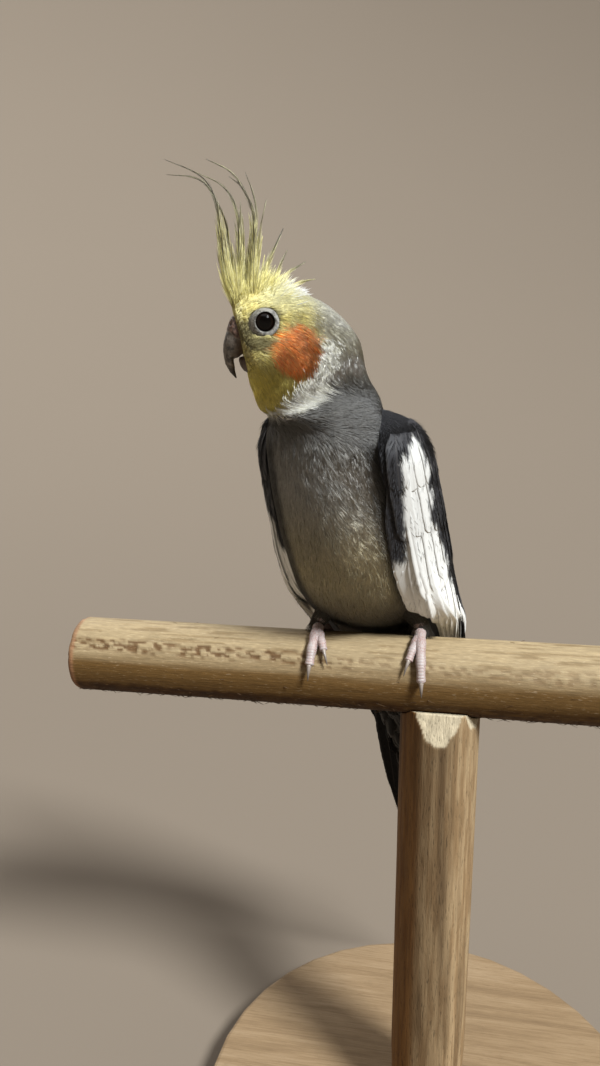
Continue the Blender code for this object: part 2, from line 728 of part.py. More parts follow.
def build_stand(mats):
    """Perch rod, upright post under it and round base."""
    length = PERCH_RIGHT - PERCH_LEFT
    perch = cylinder("perch", ((PERCH_LEFT + PERCH_RIGHT) / 2, 0, 0), PERCH_RADIUS, length, "X")
    rim(perch, lambda co: abs(co.x - PERCH_LEFT * MM) < 1e-5, PERCH_ROUND, 3)
    rim(perch, lambda co: abs(co.x - PERCH_RIGHT * MM) < 1e-5, PERCH_EDGE, 1)
    finish(perch, mats["wood"])
    floor = -PERCH_AXIS_HEIGHT
    foot = floor + BASE_THICKNESS + GAP
    post = cylinder("stand_post", (0, 0, (foot + POST_TOP) / 2), POST_RADIUS, POST_TOP - foot)
    seat = cylinder("seat", (0, 0, 0), PERCH_RADIUS + GAP, 4 * POST_RADIUS, "X")
    boolean(post, [seat] + [whittle(*cut) for cut in POST_CUTS], "DIFFERENCE")
    finish(post, mats["wood"])
    base = cylinder("stand_base", (0, 0, floor + BASE_THICKNESS / 2), BASE_RADIUS, BASE_THICKNESS)
    rim(base, lambda co: abs(co.z - BASE_THICKNESS * MM) < 1e-5, BASE_ROUND, 2)
    finish(base, mats["base"])


def main():
    clear_scene()
    mats = {
        "body": material("grey_plumage", (0.16, 0.155, 0.15), 0.8),
        "face": material("yellow_plumage", (0.75, 0.66, 0.2), 0.8),
        "wing": material("wing_plumage", (0.3, 0.3, 0.31), 0.75),
        "tail": material("tail_plumage", (0.06, 0.06, 0.065), 0.7),
        "eye": material("eye", (0.01, 0.008, 0.008), 0.08),
        "bill": material("bill_horn", (0.12, 0.1, 0.09), 0.4),
        "skin": material("foot_skin", (0.62, 0.42, 0.38), 0.6),
        "claw": material("claw_horn", (0.2, 0.18, 0.17), 0.4),
        "wood": material("perch_wood", (0.52, 0.34, 0.17), 0.7),
        "base": material("base_wood", (0.2, 0.11, 0.06), 0.5),
    }
    torso, head = build_trunk(mats)
    build_crest(head)
    build_eyes(head, mats)
    build_bill(mats)
    build_legs(torso, mats)
    build_wing("wing_left", 1, mats["wing"])
    build_wing("wing_right", -1, mats["wing"])
    build_tail(mats)
    build_stand(mats)


main()
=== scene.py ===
# Dressed look of the perched cockatiel: skin, plumage, bill, eyes, feet, perch and display stand.
# Bird sizes are in millimetres about the perch rod's axis; metres() puts them in the shared frame.
import math

import bpy
import numpy as np
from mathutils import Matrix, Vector


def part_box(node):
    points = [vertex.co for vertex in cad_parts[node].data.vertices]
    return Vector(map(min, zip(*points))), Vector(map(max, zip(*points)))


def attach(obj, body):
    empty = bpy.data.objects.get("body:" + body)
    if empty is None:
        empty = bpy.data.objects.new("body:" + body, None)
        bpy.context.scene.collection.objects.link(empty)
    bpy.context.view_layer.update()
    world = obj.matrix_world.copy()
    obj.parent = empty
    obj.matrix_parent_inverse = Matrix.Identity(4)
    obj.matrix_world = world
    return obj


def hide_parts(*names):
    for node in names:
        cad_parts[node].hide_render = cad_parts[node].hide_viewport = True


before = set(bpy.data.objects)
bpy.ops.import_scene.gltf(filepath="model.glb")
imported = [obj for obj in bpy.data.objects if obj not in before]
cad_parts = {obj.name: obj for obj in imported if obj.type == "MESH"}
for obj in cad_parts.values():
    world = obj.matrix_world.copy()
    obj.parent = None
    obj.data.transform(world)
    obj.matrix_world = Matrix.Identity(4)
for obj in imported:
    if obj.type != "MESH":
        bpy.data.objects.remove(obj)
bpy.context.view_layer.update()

bl_info = {
    "name": "Perched Cockatiel",
    "version": (1, 0, 0),
    "blender": (4, 5, 0),
    "location": "3D View > Sidebar > Cockatiel",
    "description": "Feathers, skin, bill, feet, perch and stand of a still cockatiel model",
    "category": "Object",
}

MM = 0.001
PERCH_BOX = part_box("perch")
AXIS_Z = (PERCH_BOX[0].z + PERCH_BOX[1].z) / 2
PERCH_RADIUS = (PERCH_BOX[1].z - PERCH_BOX[0].z) / 2 / MM
PERCH_ENDS = (PERCH_BOX[0].x / MM, PERCH_BOX[1].x / MM)

# The photo's camera: place and angles found from the perch, post and bird.
PHOTO_SIZE = (600, 1066)
FOCAL_PIXELS = 800.0
CAMERA_PLACE = (-2.5, -248.2, 98.3)
CAMERA_PITCH = 11.84
CAMERA_YAW = -10.05

BODY_YAW = 15.0
BODY_ORIGIN = (-25.5, 11.0)
BODY_LEAN = -0.075
LEAN_Z = 35.0
HEAD_YAW = 74.0
NECK_YAW = 45.0
NECK_CENTRE = (-35.6, -14.5, 87.0)
NECK_HALF = 17.5
NECK_TIP = 3.0
EYE_MIDDLE = (-53.9, -18.9, 109.8)
EYE_RADIUS = 4.2
EYE_OUT = 8.0

# Trunk stations: back s and z, belly s and z, half width, sideways shift.
TRUNK = [
    (-29, -9, -18, -19, 8.5, 0),
    (-26, 5, -10.5, -8, 14, -1.5),
    (-21.5, 17, -4.5, 6, 17.5, -3),
    (-16.5, 28, 10, 15, 20.2, -3.3),
    (-11, 40, 22.5, 25, 21.3, -2),
    (-5, 52, 31.5, 38, 21.6, -.6),
    (1, 63, 37.5, 52, 21.3, 0),
    (6.5, 73, 41, 66, 20.3, 0),
    (11.5, 82, 42, 78, 18.8, 0),
]
# Head stations: nape s and z, throat s and z, half width.
HEAD = [
    (-29.8, -12, 0.5, -24.5, 16.2),
    (-27.6, -4.5, 2.4, -21.0, 14.8),
    (-22.8, 1.6, 3.4, -18.8, 14.0),
    (-16, 6.3, 3.8, -17.4, 13.6),
    (-8, 9.2, 4.0, -16.5, 13.0),
    (0, 9.8, 4.1, -15.9, 11.6),
    (6, 8.2, 4.2, -15.4, 9.0),
    (8.9, 5, 4.3, -14.9, 5.6),
]
# Wing stations: front edge, middle of the arch, back edge, each s, l, z.
WING = [
    ((30, 20.5, 82), (21, 25, 83.5), (10, 10, 86)),
    ((35, 22, 74), (14.5, 27.5, 74), (0, 6, 74)),
    ((32, 22.5, 64), (7.5, 28.8, 61.5), (-7.5, 5, 59)),
    ((26, 23, 51), (0, 29.3, 47.5), (-14.5, 4.5, 42)),
    ((19, 23.5, 37), (-6, 29.7, 33), (-22, 4, 23)),
    ((9, 24.5, 23), (-14.5, 29.5, 16), (-30.5, 3.5, 5)),
    ((-7.5, 23.5, 10), (-26, 25, -2), (-37, 3, -15)),
    ((-24, 17, -18), (-36, 17.5, -25), (-44, 2.5, -36)),
    ((-44.5, 7, -56), (-47, 6.5, -60), (-50, 2, -62)),
]
# How each wing departs from the stations: front edge back, front edge in, arch in.
WING_FIT = {
    1: ((0, 0, 0), (0, 0, 0.2), (0, 0, 1.2), (0, 0, 2.0), (0, 0, 2.4), (0, 0, 2.5), (0, 0, 1.8)),
    -1: ((7, 1.0, 2.8), (6.5, 0.9, 3.4), (4, 0.8, 2.7), (1.5, 0.6, 1.0)),
}
# Roll of the wing's front edge and of the wrist, towards the body.
EDGE_ROLL = 155.0
EDGE_START = 0.05
WRIST_ROLL = 6.0
WRIST_START = 0.045
WRIST_SPAN = 0.08

TAIL_ROOT = (-24.5, 0.5, -15.0)
TAIL_TIP = (4.0, 73.0, -141.0)

# Hollow where the neck meets the back: depth and height.
NAPE_HOLLOW = 2.4
NAPE_Z = 90.0

UP = np.array([0.0, 0.0, 1.0])

# Factors of the hash behind the noise and the scales.
HASH = (73856093, 19349663, 83492791)
HASH_MIX = 1274126177
HASH_BITS = 0x7FFFFFFF


def ramp(x, low, high):
    """Smooth step from 0 at low to 1 at high."""
    f = np.clip((x - low) / (high - low), 0, 1)
    return f * f * (3 - 2 * f)


def heading(yaw):
    """Forward and left directions for a yaw in degrees."""
    a = math.radians(yaw)
    return np.array([-math.sin(a), -math.cos(a), 0.0]), np.array([math.cos(a), -math.sin(a), 0.0])


BODY_F, BODY_L = heading(BODY_YAW)
HEAD_F, HEAD_L = heading(HEAD_YAW)


def unit(v):
    """Vectors scaled to length one."""
    return v / np.maximum(np.linalg.norm(v, axis=-1, keepdims=True), 1e-9)


def body_point(s, l, z):
    """Body frame to the shared frame; works on arrays."""
    s, l, z = (np.asarray(x, float)[..., None] for x in (s, l, z))
    flat = np.array([BODY_ORIGIN[0], BODY_ORIGIN[1], 0.0])
    return flat + BODY_F * s + BODY_L * (l + BODY_LEAN * (z - LEAN_Z)) + UP * z


def head_point(s, l, z):
    """Head frame to the shared frame; works on arrays."""
    s, l, z = (np.asarray(x, float)[..., None] for x in (s, l, z))
    return np.array(EYE_MIDDLE) + HEAD_F * s + HEAD_L * l + UP * z


def in_head(p):
    """Shared frame to the head frame: s, l, z columns."""
    d = p - np.array(EYE_MIDDLE)
    return d @ HEAD_F, d @ HEAD_L, d[..., 2]


def in_body(p):
    """Shared frame to the body frame: s, l, z columns."""
    d = p - np.array([BODY_ORIGIN[0], BODY_ORIGIN[1], 0.0])
    return d @ BODY_F, d @ BODY_L - BODY_LEAN * (p[..., 2] - LEAN_Z), p[..., 2]


def dense(rows, per=40):
    """Smooth curve through evenly numbered rows, sampled finely."""
    rows = np.asarray(rows, float)
    padded = np.vstack([2 * rows[0] - rows[1], rows, 2 * rows[-1] - rows[-2]])
    out = []
    for i in range(len(rows) - 1):
        p0, p1, p2, p3 = padded[i:i + 4]
        for f in np.arange(per) / per:
            slope = (p2 - p0) * f + (2 * p0 - 5 * p1 + 4 * p2 - p3) * f * f
            out.append(p1 + 0.5 * (slope + (3 * p1 - p0 - 3 * p2 + p3) * f ** 3))
    out.append(rows[-1])
    return np.array(out)


def read(table, t, knots):
    """Rows of a dense table at places 0..knots."""
    x = np.clip(t, 0, knots) / knots * (len(table) - 1)
    i = np.minimum(x.astype(int), len(table) - 2)
    f = (x - i)[..., None]
    return table[i] * (1 - f) + table[i + 1] * f


class Body:
    """The bird's trunk, neck and head as one surface; t runs rump to bill, a round from the back."""

    def __init__(self):
        rows = []
        for ds, dz, vs, vz, w, sh in TRUNK:
            rows.append(np.concatenate([body_point(ds, sh, dz), body_point(vs, sh, vz), BODY_L * w]))
        f, side = heading(NECK_YAW)
        half = f * NECK_HALF - UP * NECK_TIP
        centre = np.array(NECK_CENTRE)
        rows.append(np.concatenate([centre - half, centre + half, side * NECK_HALF]))
        for ds, dz, vs, vz, w in HEAD:
            rows.append(np.concatenate([head_point(ds, 0, dz), head_point(vs, 0, vz), HEAD_L * w]))
        self.knots = len(rows) - 1
        self.table = dense(rows)
        self.span = (self.knots, 2 * math.pi)

    def __call__(self, t, a):
        r = read(self.table, t, self.knots)
        back, belly, side = r[..., :3], r[..., 3:6], r[..., 6:9]
        out = np.cos(a)[..., None] * (back - belly) / 2 + np.sin(a)[..., None] * side
        p = (back + belly) / 2 + out
        sunk = NAPE_HOLLOW * np.exp(-((p[..., 2] - NAPE_Z) / 6.0) ** 2) * ramp(p[..., 0], -34.0, -22.0)
        return p - unit(out) * sunk[..., None]


class Wing:
    """One folded wing's outer face; u runs shoulder to tips, v front edge to back."""

    def __init__(self, side):
        rows = []
        for k, row in enumerate(WING):
            pts = [list(p) for p in row]
            if k < len(WING_FIT[side]):
                back, front_in, arch_in = WING_FIT[side][k]
                pts[0][0] -= back
                pts[0][1] -= front_in
                pts[1][1] -= arch_in
            rows.append(np.concatenate([np.array(p, float) for p in pts]))
        self.side = side
        self.table = dense(rows)
        self.span = (1.0, 1.0)

    def __call__(self, u, v):
        slope = (self.table[8] - self.table[0]) * (len(self.table) - 1) / 8
        r = read(self.table, u, 1.0) + np.minimum(u, 0)[..., None] * slope
        a, m, c = r[..., :3], r[..., 3:6], r[..., 6:9]
        p = 2 * m - (a + c) / 2
        w = v[..., None]
        q = (1 - w) ** 2 * a + 2 * w * (1 - w) * p + w * w * c
        edge = EDGE_ROLL * np.maximum(EDGE_START - v, 0) ** 2
        wrist = WRIST_ROLL * (np.maximum(WRIST_START - u, 0) / WRIST_SPAN) ** 2
        return body_point(q[..., 0] - 0.7 * edge, self.side * (q[..., 1] - edge - wrist), q[..., 2])


def tangents(surface, x, y):
    """Point and both slopes of a surface."""
    hx, hy = surface.span[0] * 2e-3, surface.span[1] * 2e-3
    px = (surface(x + hx, y) - surface(x - hx, y)) / (2 * hx)
    py = (surface(x, y + hy) - surface(x, y - hy)) / (2 * hy)
    return surface(x, y), px, py


def body_normal(surface, t, a):
    """Outward normal of the trunk and head."""
    _, pt, pa = tangents(surface, t, a)
    return unit(np.cross(pa, pt)) * surface.outward


def wing_normal(surface, u, v):
    """Outward normal of a wing."""
    _, pu, pv = tangents(surface, u, v)
    return unit(np.cross(pu, pv)) * surface.side


BODY = Body()
BODY.outward = 1.0
BREAST = np.array([5.0]), np.array([math.pi])
BODY.outward = float(np.sign((body_normal(BODY, *BREAST) @ BODY_F)[0]))
WINGS = {1: Wing(1), -1: Wing(-1)}


def noise(p, size, seed=0):
    """Smooth random field from 0 to 1 with lumps about size millimetres across."""
    q = np.asarray(p) / size + 31.7 * seed + 5000.0
    cell = np.floor(q).astype(np.int64)
    f = q - cell
    f = f * f * (3 - 2 * f)
    total = 0.0
    for corner in np.ndindex(2, 2, 2):
        c = cell + np.array(corner)
        h = (c[..., 0] * HASH[0]) ^ (c[..., 1] * HASH[1]) ^ (c[..., 2] * HASH[2])
        h = (h ^ (h >> 13)) * HASH_MIX & HASH_BITS
        h = (h ^ (h >> 16)) & 0xFFFF
        w = np.prod(np.where(np.array(corner) == 1, f, 1 - f), axis=-1)
        total = total + w * h / 65535.0
    return total


def blend(a, b, f):
    """Mix of two colours or points."""
    return a + (b - a) * np.asarray(f)[..., None]


def tint(name):
    """A colour of the plumage settings as an array."""
    return np.array(getattr(bpy.context.scene.cockatiel_plumage, name)[:3])


# Rear edge of the yellow face: height above the eye, place behind it and width of the white fringe.
FACE_EDGE_Z = (-31, -28.5, -25, -20, -15, -10, -5, 0, 5, 8, 12)
FACE_EDGE_S = (30, 4, -4.5, -8.5, -13, -17, -17, -16, -15.5, -12.5, -6)
FRINGE_WIDE = (4, 4.5, 5.5, 6, 5, 2.6, 2.0, 2.2, 2.8, 3.0, 3.0)
CHEEK = (-8.2, -7.9, 7.0, 7.0)
EAR_SIDE = 4.0


def spot(a, b, ragged, low, high):
    """Ragged round patch: 1 where its scaled distance is small."""
    return 1 - ramp(np.hypot(a, b) + ragged, low, high)


def head_marks(p):
    """Masks of the face: yellow, white fringe, orange cheek, painted shade in front of and below the eye, and
    distance from the edge.
    """
    s, l, z = in_head(p)
    wide = 3.0 * (noise(p, 3.0, 1) - 0.5) + 3.0 * (noise(p, 1.1, 2) - 0.5)
    edge = s - np.interp(z, FACE_EDGE_Z, FACE_EDGE_S) + wide
    yellow = ramp(edge, -1.4, 3.8)
    band = np.interp(z, FACE_EDGE_Z, FRINGE_WIDE)
    white = ramp(edge, -0.62 * band - 1.8, -0.62 * band + 2.2) * (1 - 0.8 * ramp(z, -9, -4))
    ragged = 0.6 * (noise(p, 1.4, 3) - 0.5)
    nape = spot((s + 25.5) / 4.4, (z + 11.6) / 2.8, ragged, 0.7, 1.2)
    behind = spot((s + 18.5) / 3.4, (z + 12.6) / 3.4, ragged, 0.7, 1.2)
    crown = spot((s + 7.5) / 4.2, np.minimum(abs(l), 9) / 4.0, ragged + 1.5 * ramp(z, 8.8, 7.2), 0.7, 1.2)
    streak = ramp(noise(p * np.array([0.35, 0.35, 1.3]), 1.2, 7), 0.62, 0.8) * ramp(edge, -14, -4) * (z > -14)
    white = np.maximum.reduce([white, nape, 0.8 * behind, crown, 0.75 * streak])
    cs, cz, rs, rz = CHEEK
    tail = 0.16 * ramp(s, cs, cs + rs) * ramp(z, cz, cz + rz)
    cheek = spot((s - cs) / rs, (z - cz) / rz, 0.36 * (noise(p, 1.5, 5) - 0.5) + tail, 0.8, 1.12)
    cheek = cheek * (abs(l) > EAR_SIDE)
    whisker = 0.4 * (noise(p, 1.0, 6) - 0.5)
    # Darker patch in front of and below the eye: painted shade on the face's front.
    shaded_lores = spot((s - 5.6) / 3.0, (z + 2.2) / 3.4, whisker, 0.6, 1.25)
    under = spot((s - 1.6) / 5.2, (z + 5.8) / 2.3, whisker, 0.6, 1.25)
    shaded_lores = np.maximum(shaded_lores, under) * (abs(l) > 3.5)
    return yellow, white, cheek, shaded_lores, edge


def coat_colour(p):
    """Colour of the small feathers at places on the trunk, neck or head, with painted light and shade on the
    trunk, neck and face.
    """
    s, _, z = in_head(p)
    bs, bl, bz = in_body(p)
    grey = blend(tint("grey"), tint("belly"), ramp(bz, 66, 34))
    # Low belly and vent go to the dark under colour: painted shade under the body.
    grey = blend(grey, tint("under"), ramp(bz, 34, 16))
    grey = blend(grey, tint("crown_grey"), ramp(bz, 84, 108))
    grey = blend(grey, tint("back_grey"), ramp(bs - (bz - 40) * 0.45, 8.0, -10.0) * ramp(bz, 92, 80))
    # Random tone, and lighter on the bird's left side of the breast: painted light where the key falls.
    grey = grey * (0.88 + 0.24 * noise(p, 7.0, 8) + 0.4 * ramp(bl, 1, 10) * ramp(bz, 30, 44)
                   * ramp(bz, 80, 70))[..., None]
    # Darker on the neck under the head: painted shade; lighter on the breast below it and on the nape above
    # it.
    grey = grey * np.interp(bz, (68, 78, 92, 100), (1.35, 0.72, 0.48, 1.9))[..., None]
    # Darker flanks beside the wings: painted shade between the body and the wings.
    flank_shade = np.maximum(ramp(bl, 13.5, 17.0), ramp(bl, -11.5, -15.0)) * ramp(bz, 80, 72) * ramp(bz, 4, 12)
    grey = grey * (1 - 0.82 * flank_shade)[..., None]
    yellow, white, cheek, shaded_lores, _ = head_marks(p)
    colour = blend(grey, tint("white"), white)
    high = ramp(z, 0.0, 6.0) * ramp(s, 4.0, -3.0)
    face = blend(tint("yellow"), tint("pale_yellow"), np.clip(0.5 * noise(p, 2.0, 9) + 0.5 * high, 0, 1))
    # The lower face goes to a yellow brighter than the face's own: painted light that lifts the shade under
    # the bill.
    face = blend(face, tint("lit_chin"), ramp(z, -8, -17) * 0.8 * (0.6 + 0.4 * ramp(s, -8, 0)))
    colour = blend(colour, face, yellow)
    # Painted shade in front of and below the eye.
    colour = blend(colour, tint("lore_shade"), shaded_lores * 0.8)
    return blend(colour, tint("orange"), cheek)


# White of the left wing as an outline in wing coordinates: three fingers, then the long front band.
WHITE_BAND = [
    (0.135, 0.045), (0.112, 0.07), (0.135, 0.10), (0.158, 0.107), (0.10, 0.115), (0.055, 0.20),
    (0.085, 0.25), (0.13, 0.236), (0.158, 0.206), (0.143, 0.27), (0.16, 0.285), (0.215, 0.235),
    (0.22, 0.214), (0.30, 0.182), (0.352, 0.168), (0.345, 0.23), (0.39, 0.225), (0.405, 0.256),
    (0.45, 0.245), (0.46, 0.272), (0.51, 0.26), (0.53, 0.285), (0.62, 0.285), (0.74, 0.33),
    (0.80, 0.20), (0.82, -0.3), (0.50, -0.3), (0.46, -0.03), (0.36, -0.005), (0.28, 0.02), (0.18, 0.045),
]
WHITE_PATCH = [(0.245, 0.195), (0.25, 0.235), (0.285, 0.24), (0.29, 0.195)]


def inside(u, v, outline):
    """1 inside a closed outline and 0 outside, softened by averaging a few near places."""
    total = 0.0
    spots = ((0, 0), (0.006, 0.006), (-0.006, 0.006), (0.006, -0.006), (-0.006, -0.006))
    for du, dv in spots:
        x, y = u + du, v + dv
        crossed = np.zeros(np.shape(u), bool)
        for (x0, y0), (x1, y1) in zip(outline, outline[1:] + outline[:1]):
            if y0 != y1:
                crossed ^= ((y0 > y) != (y1 > y)) & (x < (x1 - x0) * (y - y0) / (y1 - y0) + x0)
        total = total + crossed
    return total / len(spots)


def wing_colour(p, u, v, dark, side):
    """Colour of wing feathers at wing coordinates, with a darkness for each tier and painted light on the
    wrist's top and the lower white.
    """
    fray = noise(p * np.array([1.0, 1.0, 0.45]), 0.9, 10) - 0.5
    x = u + 0.01 * (noise(p, 1.6, 11) - 0.5) + 0.014 * fray
    y = v + 0.016 * (noise(p, 1.6, 12) - 0.5)
    white = np.maximum(inside(x, y, WHITE_BAND), inside(x, y, WHITE_PATCH))
    if side < 0:
        white = white * ramp(y - np.interp(x, (0.2, 0.36, 0.5), (0.09, 0.0, -0.3)), 0.0, 0.05)
    slate = blend(tint("wing_grey"), tint("flight_grey"), dark)
    slate = slate * (0.85 + 0.3 * noise(p, 3.0, 13))[..., None]
    # Lighter at the wrist's top: painted light where the rolled surface turns away from the key; lighter
    # towards the back edge of the coverts too.
    slate = slate * (1 + 0.9 * ramp(x, 0.035, 0.0) + 0.8 * ramp(y, 0.5, 0.85) * ramp(x, 0.75, 0.4))[..., None]
    # White lighter towards the tips: painted light where the lower wing faces down and away from the key.
    pale = tint("wing_white") * (0.95 + 0.05 * noise(p, 4.0, 14) + 0.22 * ramp(x, 0.4, 0.6))[..., None]
    return blend(slate, pale, white)


def metres(p):
    """Perch-centred millimetres to the shared frame."""
    return (np.asarray(p, float) + np.array([0, 0, AXIS_Z / MM])) * MM


def deselect():
    """Leave nothing selected before an operator that acts on the selection."""
    for obj in bpy.context.selected_objects:
        obj.select_set(False)


def take(name):
    """Name the shape just added and its mesh."""
    obj = bpy.context.object
    obj.name = name
    obj.data.name = name
    return obj


def finish(obj, mat, slot, *nodes):
    """Give a piece its finish, its body and the solids that it stands for; the slot is not used."""
    obj.data.materials.clear()
    obj.data.materials.append(mat)
    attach(obj, "root")
    if nodes:
        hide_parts(*nodes)
    return obj


def wrapped(name, across, around, shape, ends=True):
    """Sheet rolled into a closed skin: shape gives places from along and around, both 0 to 1."""
    deselect()
    bpy.ops.mesh.primitive_grid_add(x_subdivisions=across, y_subdivisions=around, size=2.0)
    obj = take(name)
    mesh = obj.data
    co = np.zeros(len(mesh.vertices) * 3)
    mesh.vertices.foreach_get("co", co)
    x, y = (co.reshape(-1, 3)[:, :2].T + 1) / 2
    mesh.vertices.foreach_set("co", metres(shape(x, y)).ravel())
    corner = np.zeros(len(mesh.loops), np.int32)
    mesh.loops.foreach_get("vertex_index", corner)
    mesh.uv_layers[0].name = "OFBake"
    mesh.uv_layers[0].data.foreach_set("uv", np.stack([y, x], 1)[corner].ravel())
    paint = mesh.attributes.new("Vane", "FLOAT_VECTOR", "POINT")
    paint.data.foreach_set("vector", np.stack([x, y, np.zeros_like(x)], 1).ravel())
    bpy.ops.object.mode_set(mode="EDIT")
    bpy.ops.mesh.select_all(action="SELECT")
    bpy.ops.mesh.remove_doubles(threshold=1e-7)
    if ends:
        bpy.ops.mesh.select_all(action="SELECT")
        bpy.ops.mesh.fill_holes(sides=0)
    bpy.ops.mesh.select_all(action="SELECT")
    bpy.ops.mesh.normals_make_consistent(inside=False)
    bpy.ops.object.mode_set(mode="OBJECT")
    bpy.ops.object.shade_smooth()
    return obj


def read_verts(mesh):
    """Places of a mesh's vertices, in the shared frame."""
    co = np.zeros(len(mesh.vertices) * 3)
    mesh.vertices.foreach_get("co", co)
    return co.reshape(-1, 3)


def painted(obj, colour):
    """Give a piece its own colour at each vertex, from a function of the place."""
    p = read_verts(obj.data) / MM - np.array([0, 0, AXIS_Z / MM])
    rgb = colour(p)
    layer = obj.data.attributes.new("Plumage", "FLOAT_COLOR", "POINT")
    layer.data.foreach_set("color", np.hstack([rgb, np.ones((len(rgb), 1))]).ravel())


class Master:
    """One small shape modelled by hand, ready to be stamped: each corner has a level, a side and a height."""

    def __init__(self, obj, levels):
        mesh = obj.data
        co = read_verts(mesh)
        self.spots = np.array(levels, float)
        self.level = np.abs(co[:, :1] - self.spots[None]).argmin(1)
        self.side = co[:, 1].copy()
        self.height = co[:, 2].copy()
        self.corners = np.zeros(len(mesh.loops), np.int64)
        mesh.loops.foreach_get("vertex_index", self.corners)
        self.starts = np.zeros(len(mesh.polygons), np.int64)
        mesh.polygons.foreach_get("loop_start", self.starts)
        self.faces = sum(len(p.vertices) - 2 for p in mesh.polygons)
        heights = [self.height[list(p.vertices)] for p in mesh.polygons]
        self.smooth = np.array([not (h.max() >= 0 > h.min()) for h in heights])
        bpy.data.objects.remove(obj)


def blade_master(levels):
    """Three-sided blade, keeled on top, cut at each level and closed to a point."""
    deselect()
    bpy.ops.mesh.primitive_cone_add(vertices=3, radius1=1.0, depth=1.0, location=(0, 0, 0.5))
    obj = take("blade_master")
    bpy.ops.object.mode_set(mode="EDIT")
    for level in levels[1:-1]:
        bpy.ops.mesh.select_all(action="SELECT")
        bpy.ops.mesh.bisect(plane_co=(0, 0, level), plane_no=(0, 0, 1))
    bpy.ops.mesh.select_all(action="SELECT")
    bpy.ops.mesh.quads_convert_to_tris()
    bpy.ops.mesh.tris_convert_to_quads()
    bpy.ops.mesh.normals_make_consistent(inside=False)
    bpy.ops.object.mode_set(mode="OBJECT")
    co = read_verts(obj.data) + np.array([0, 0, 0.5])
    size = np.maximum(1 - co[:, 2:3], 1e-6)
    flat = np.where(co[:, 2:3] > 0.999, 0.0, co[:, :2] / size)
    angle = np.arctan2(flat[:, 1], flat[:, 0])
    top = np.abs(angle - math.pi / 2) < 0.3
    side = np.where(top, 0.0, np.sign(flat[:, 0]))
    tip = co[:, 2] > 0.999
    out = np.stack([co[:, 2], np.where(tip, 0, side), np.where(top & ~tip, 1.0, 0.0)], 1)
    obj.data.vertices.foreach_set("co", out.ravel())
    return Master(obj, levels)


def vane_master(along, across, keel=0.5):
    """Thin closed feather sheet with a raised shaft line down the middle."""
    deselect()
    bpy.ops.mesh.primitive_grid_add(x_subdivisions=along, y_subdivisions=across, size=2.0)
    obj = take("vane_master")
    bpy.ops.object.mode_set(mode="EDIT")
    bpy.ops.mesh.select_all(action="SELECT")
    bpy.ops.mesh.extrude_region_move(TRANSFORM_OT_translate={"value": (0, 0, -1.0)})
    bpy.ops.mesh.select_all(action="SELECT")
    bpy.ops.mesh.normals_make_consistent(inside=False)
    bpy.ops.object.mode_set(mode="OBJECT")
    co = read_verts(obj.data)
    co[:, 0] = (co[:, 0] + 1) / 2
    co[:, 2] += np.where(np.abs(co[:, 1]) < 0.01, keel, 0.0)
    obj.data.vertices.foreach_set("co", co.ravel())
    return Master(obj, np.linspace(0, 1, along + 1))


# Most triangles in one piece, and how much of the unwrap one feather takes.
PIECE_LIMIT = 190000
UNWRAP_PATCH = 0.003


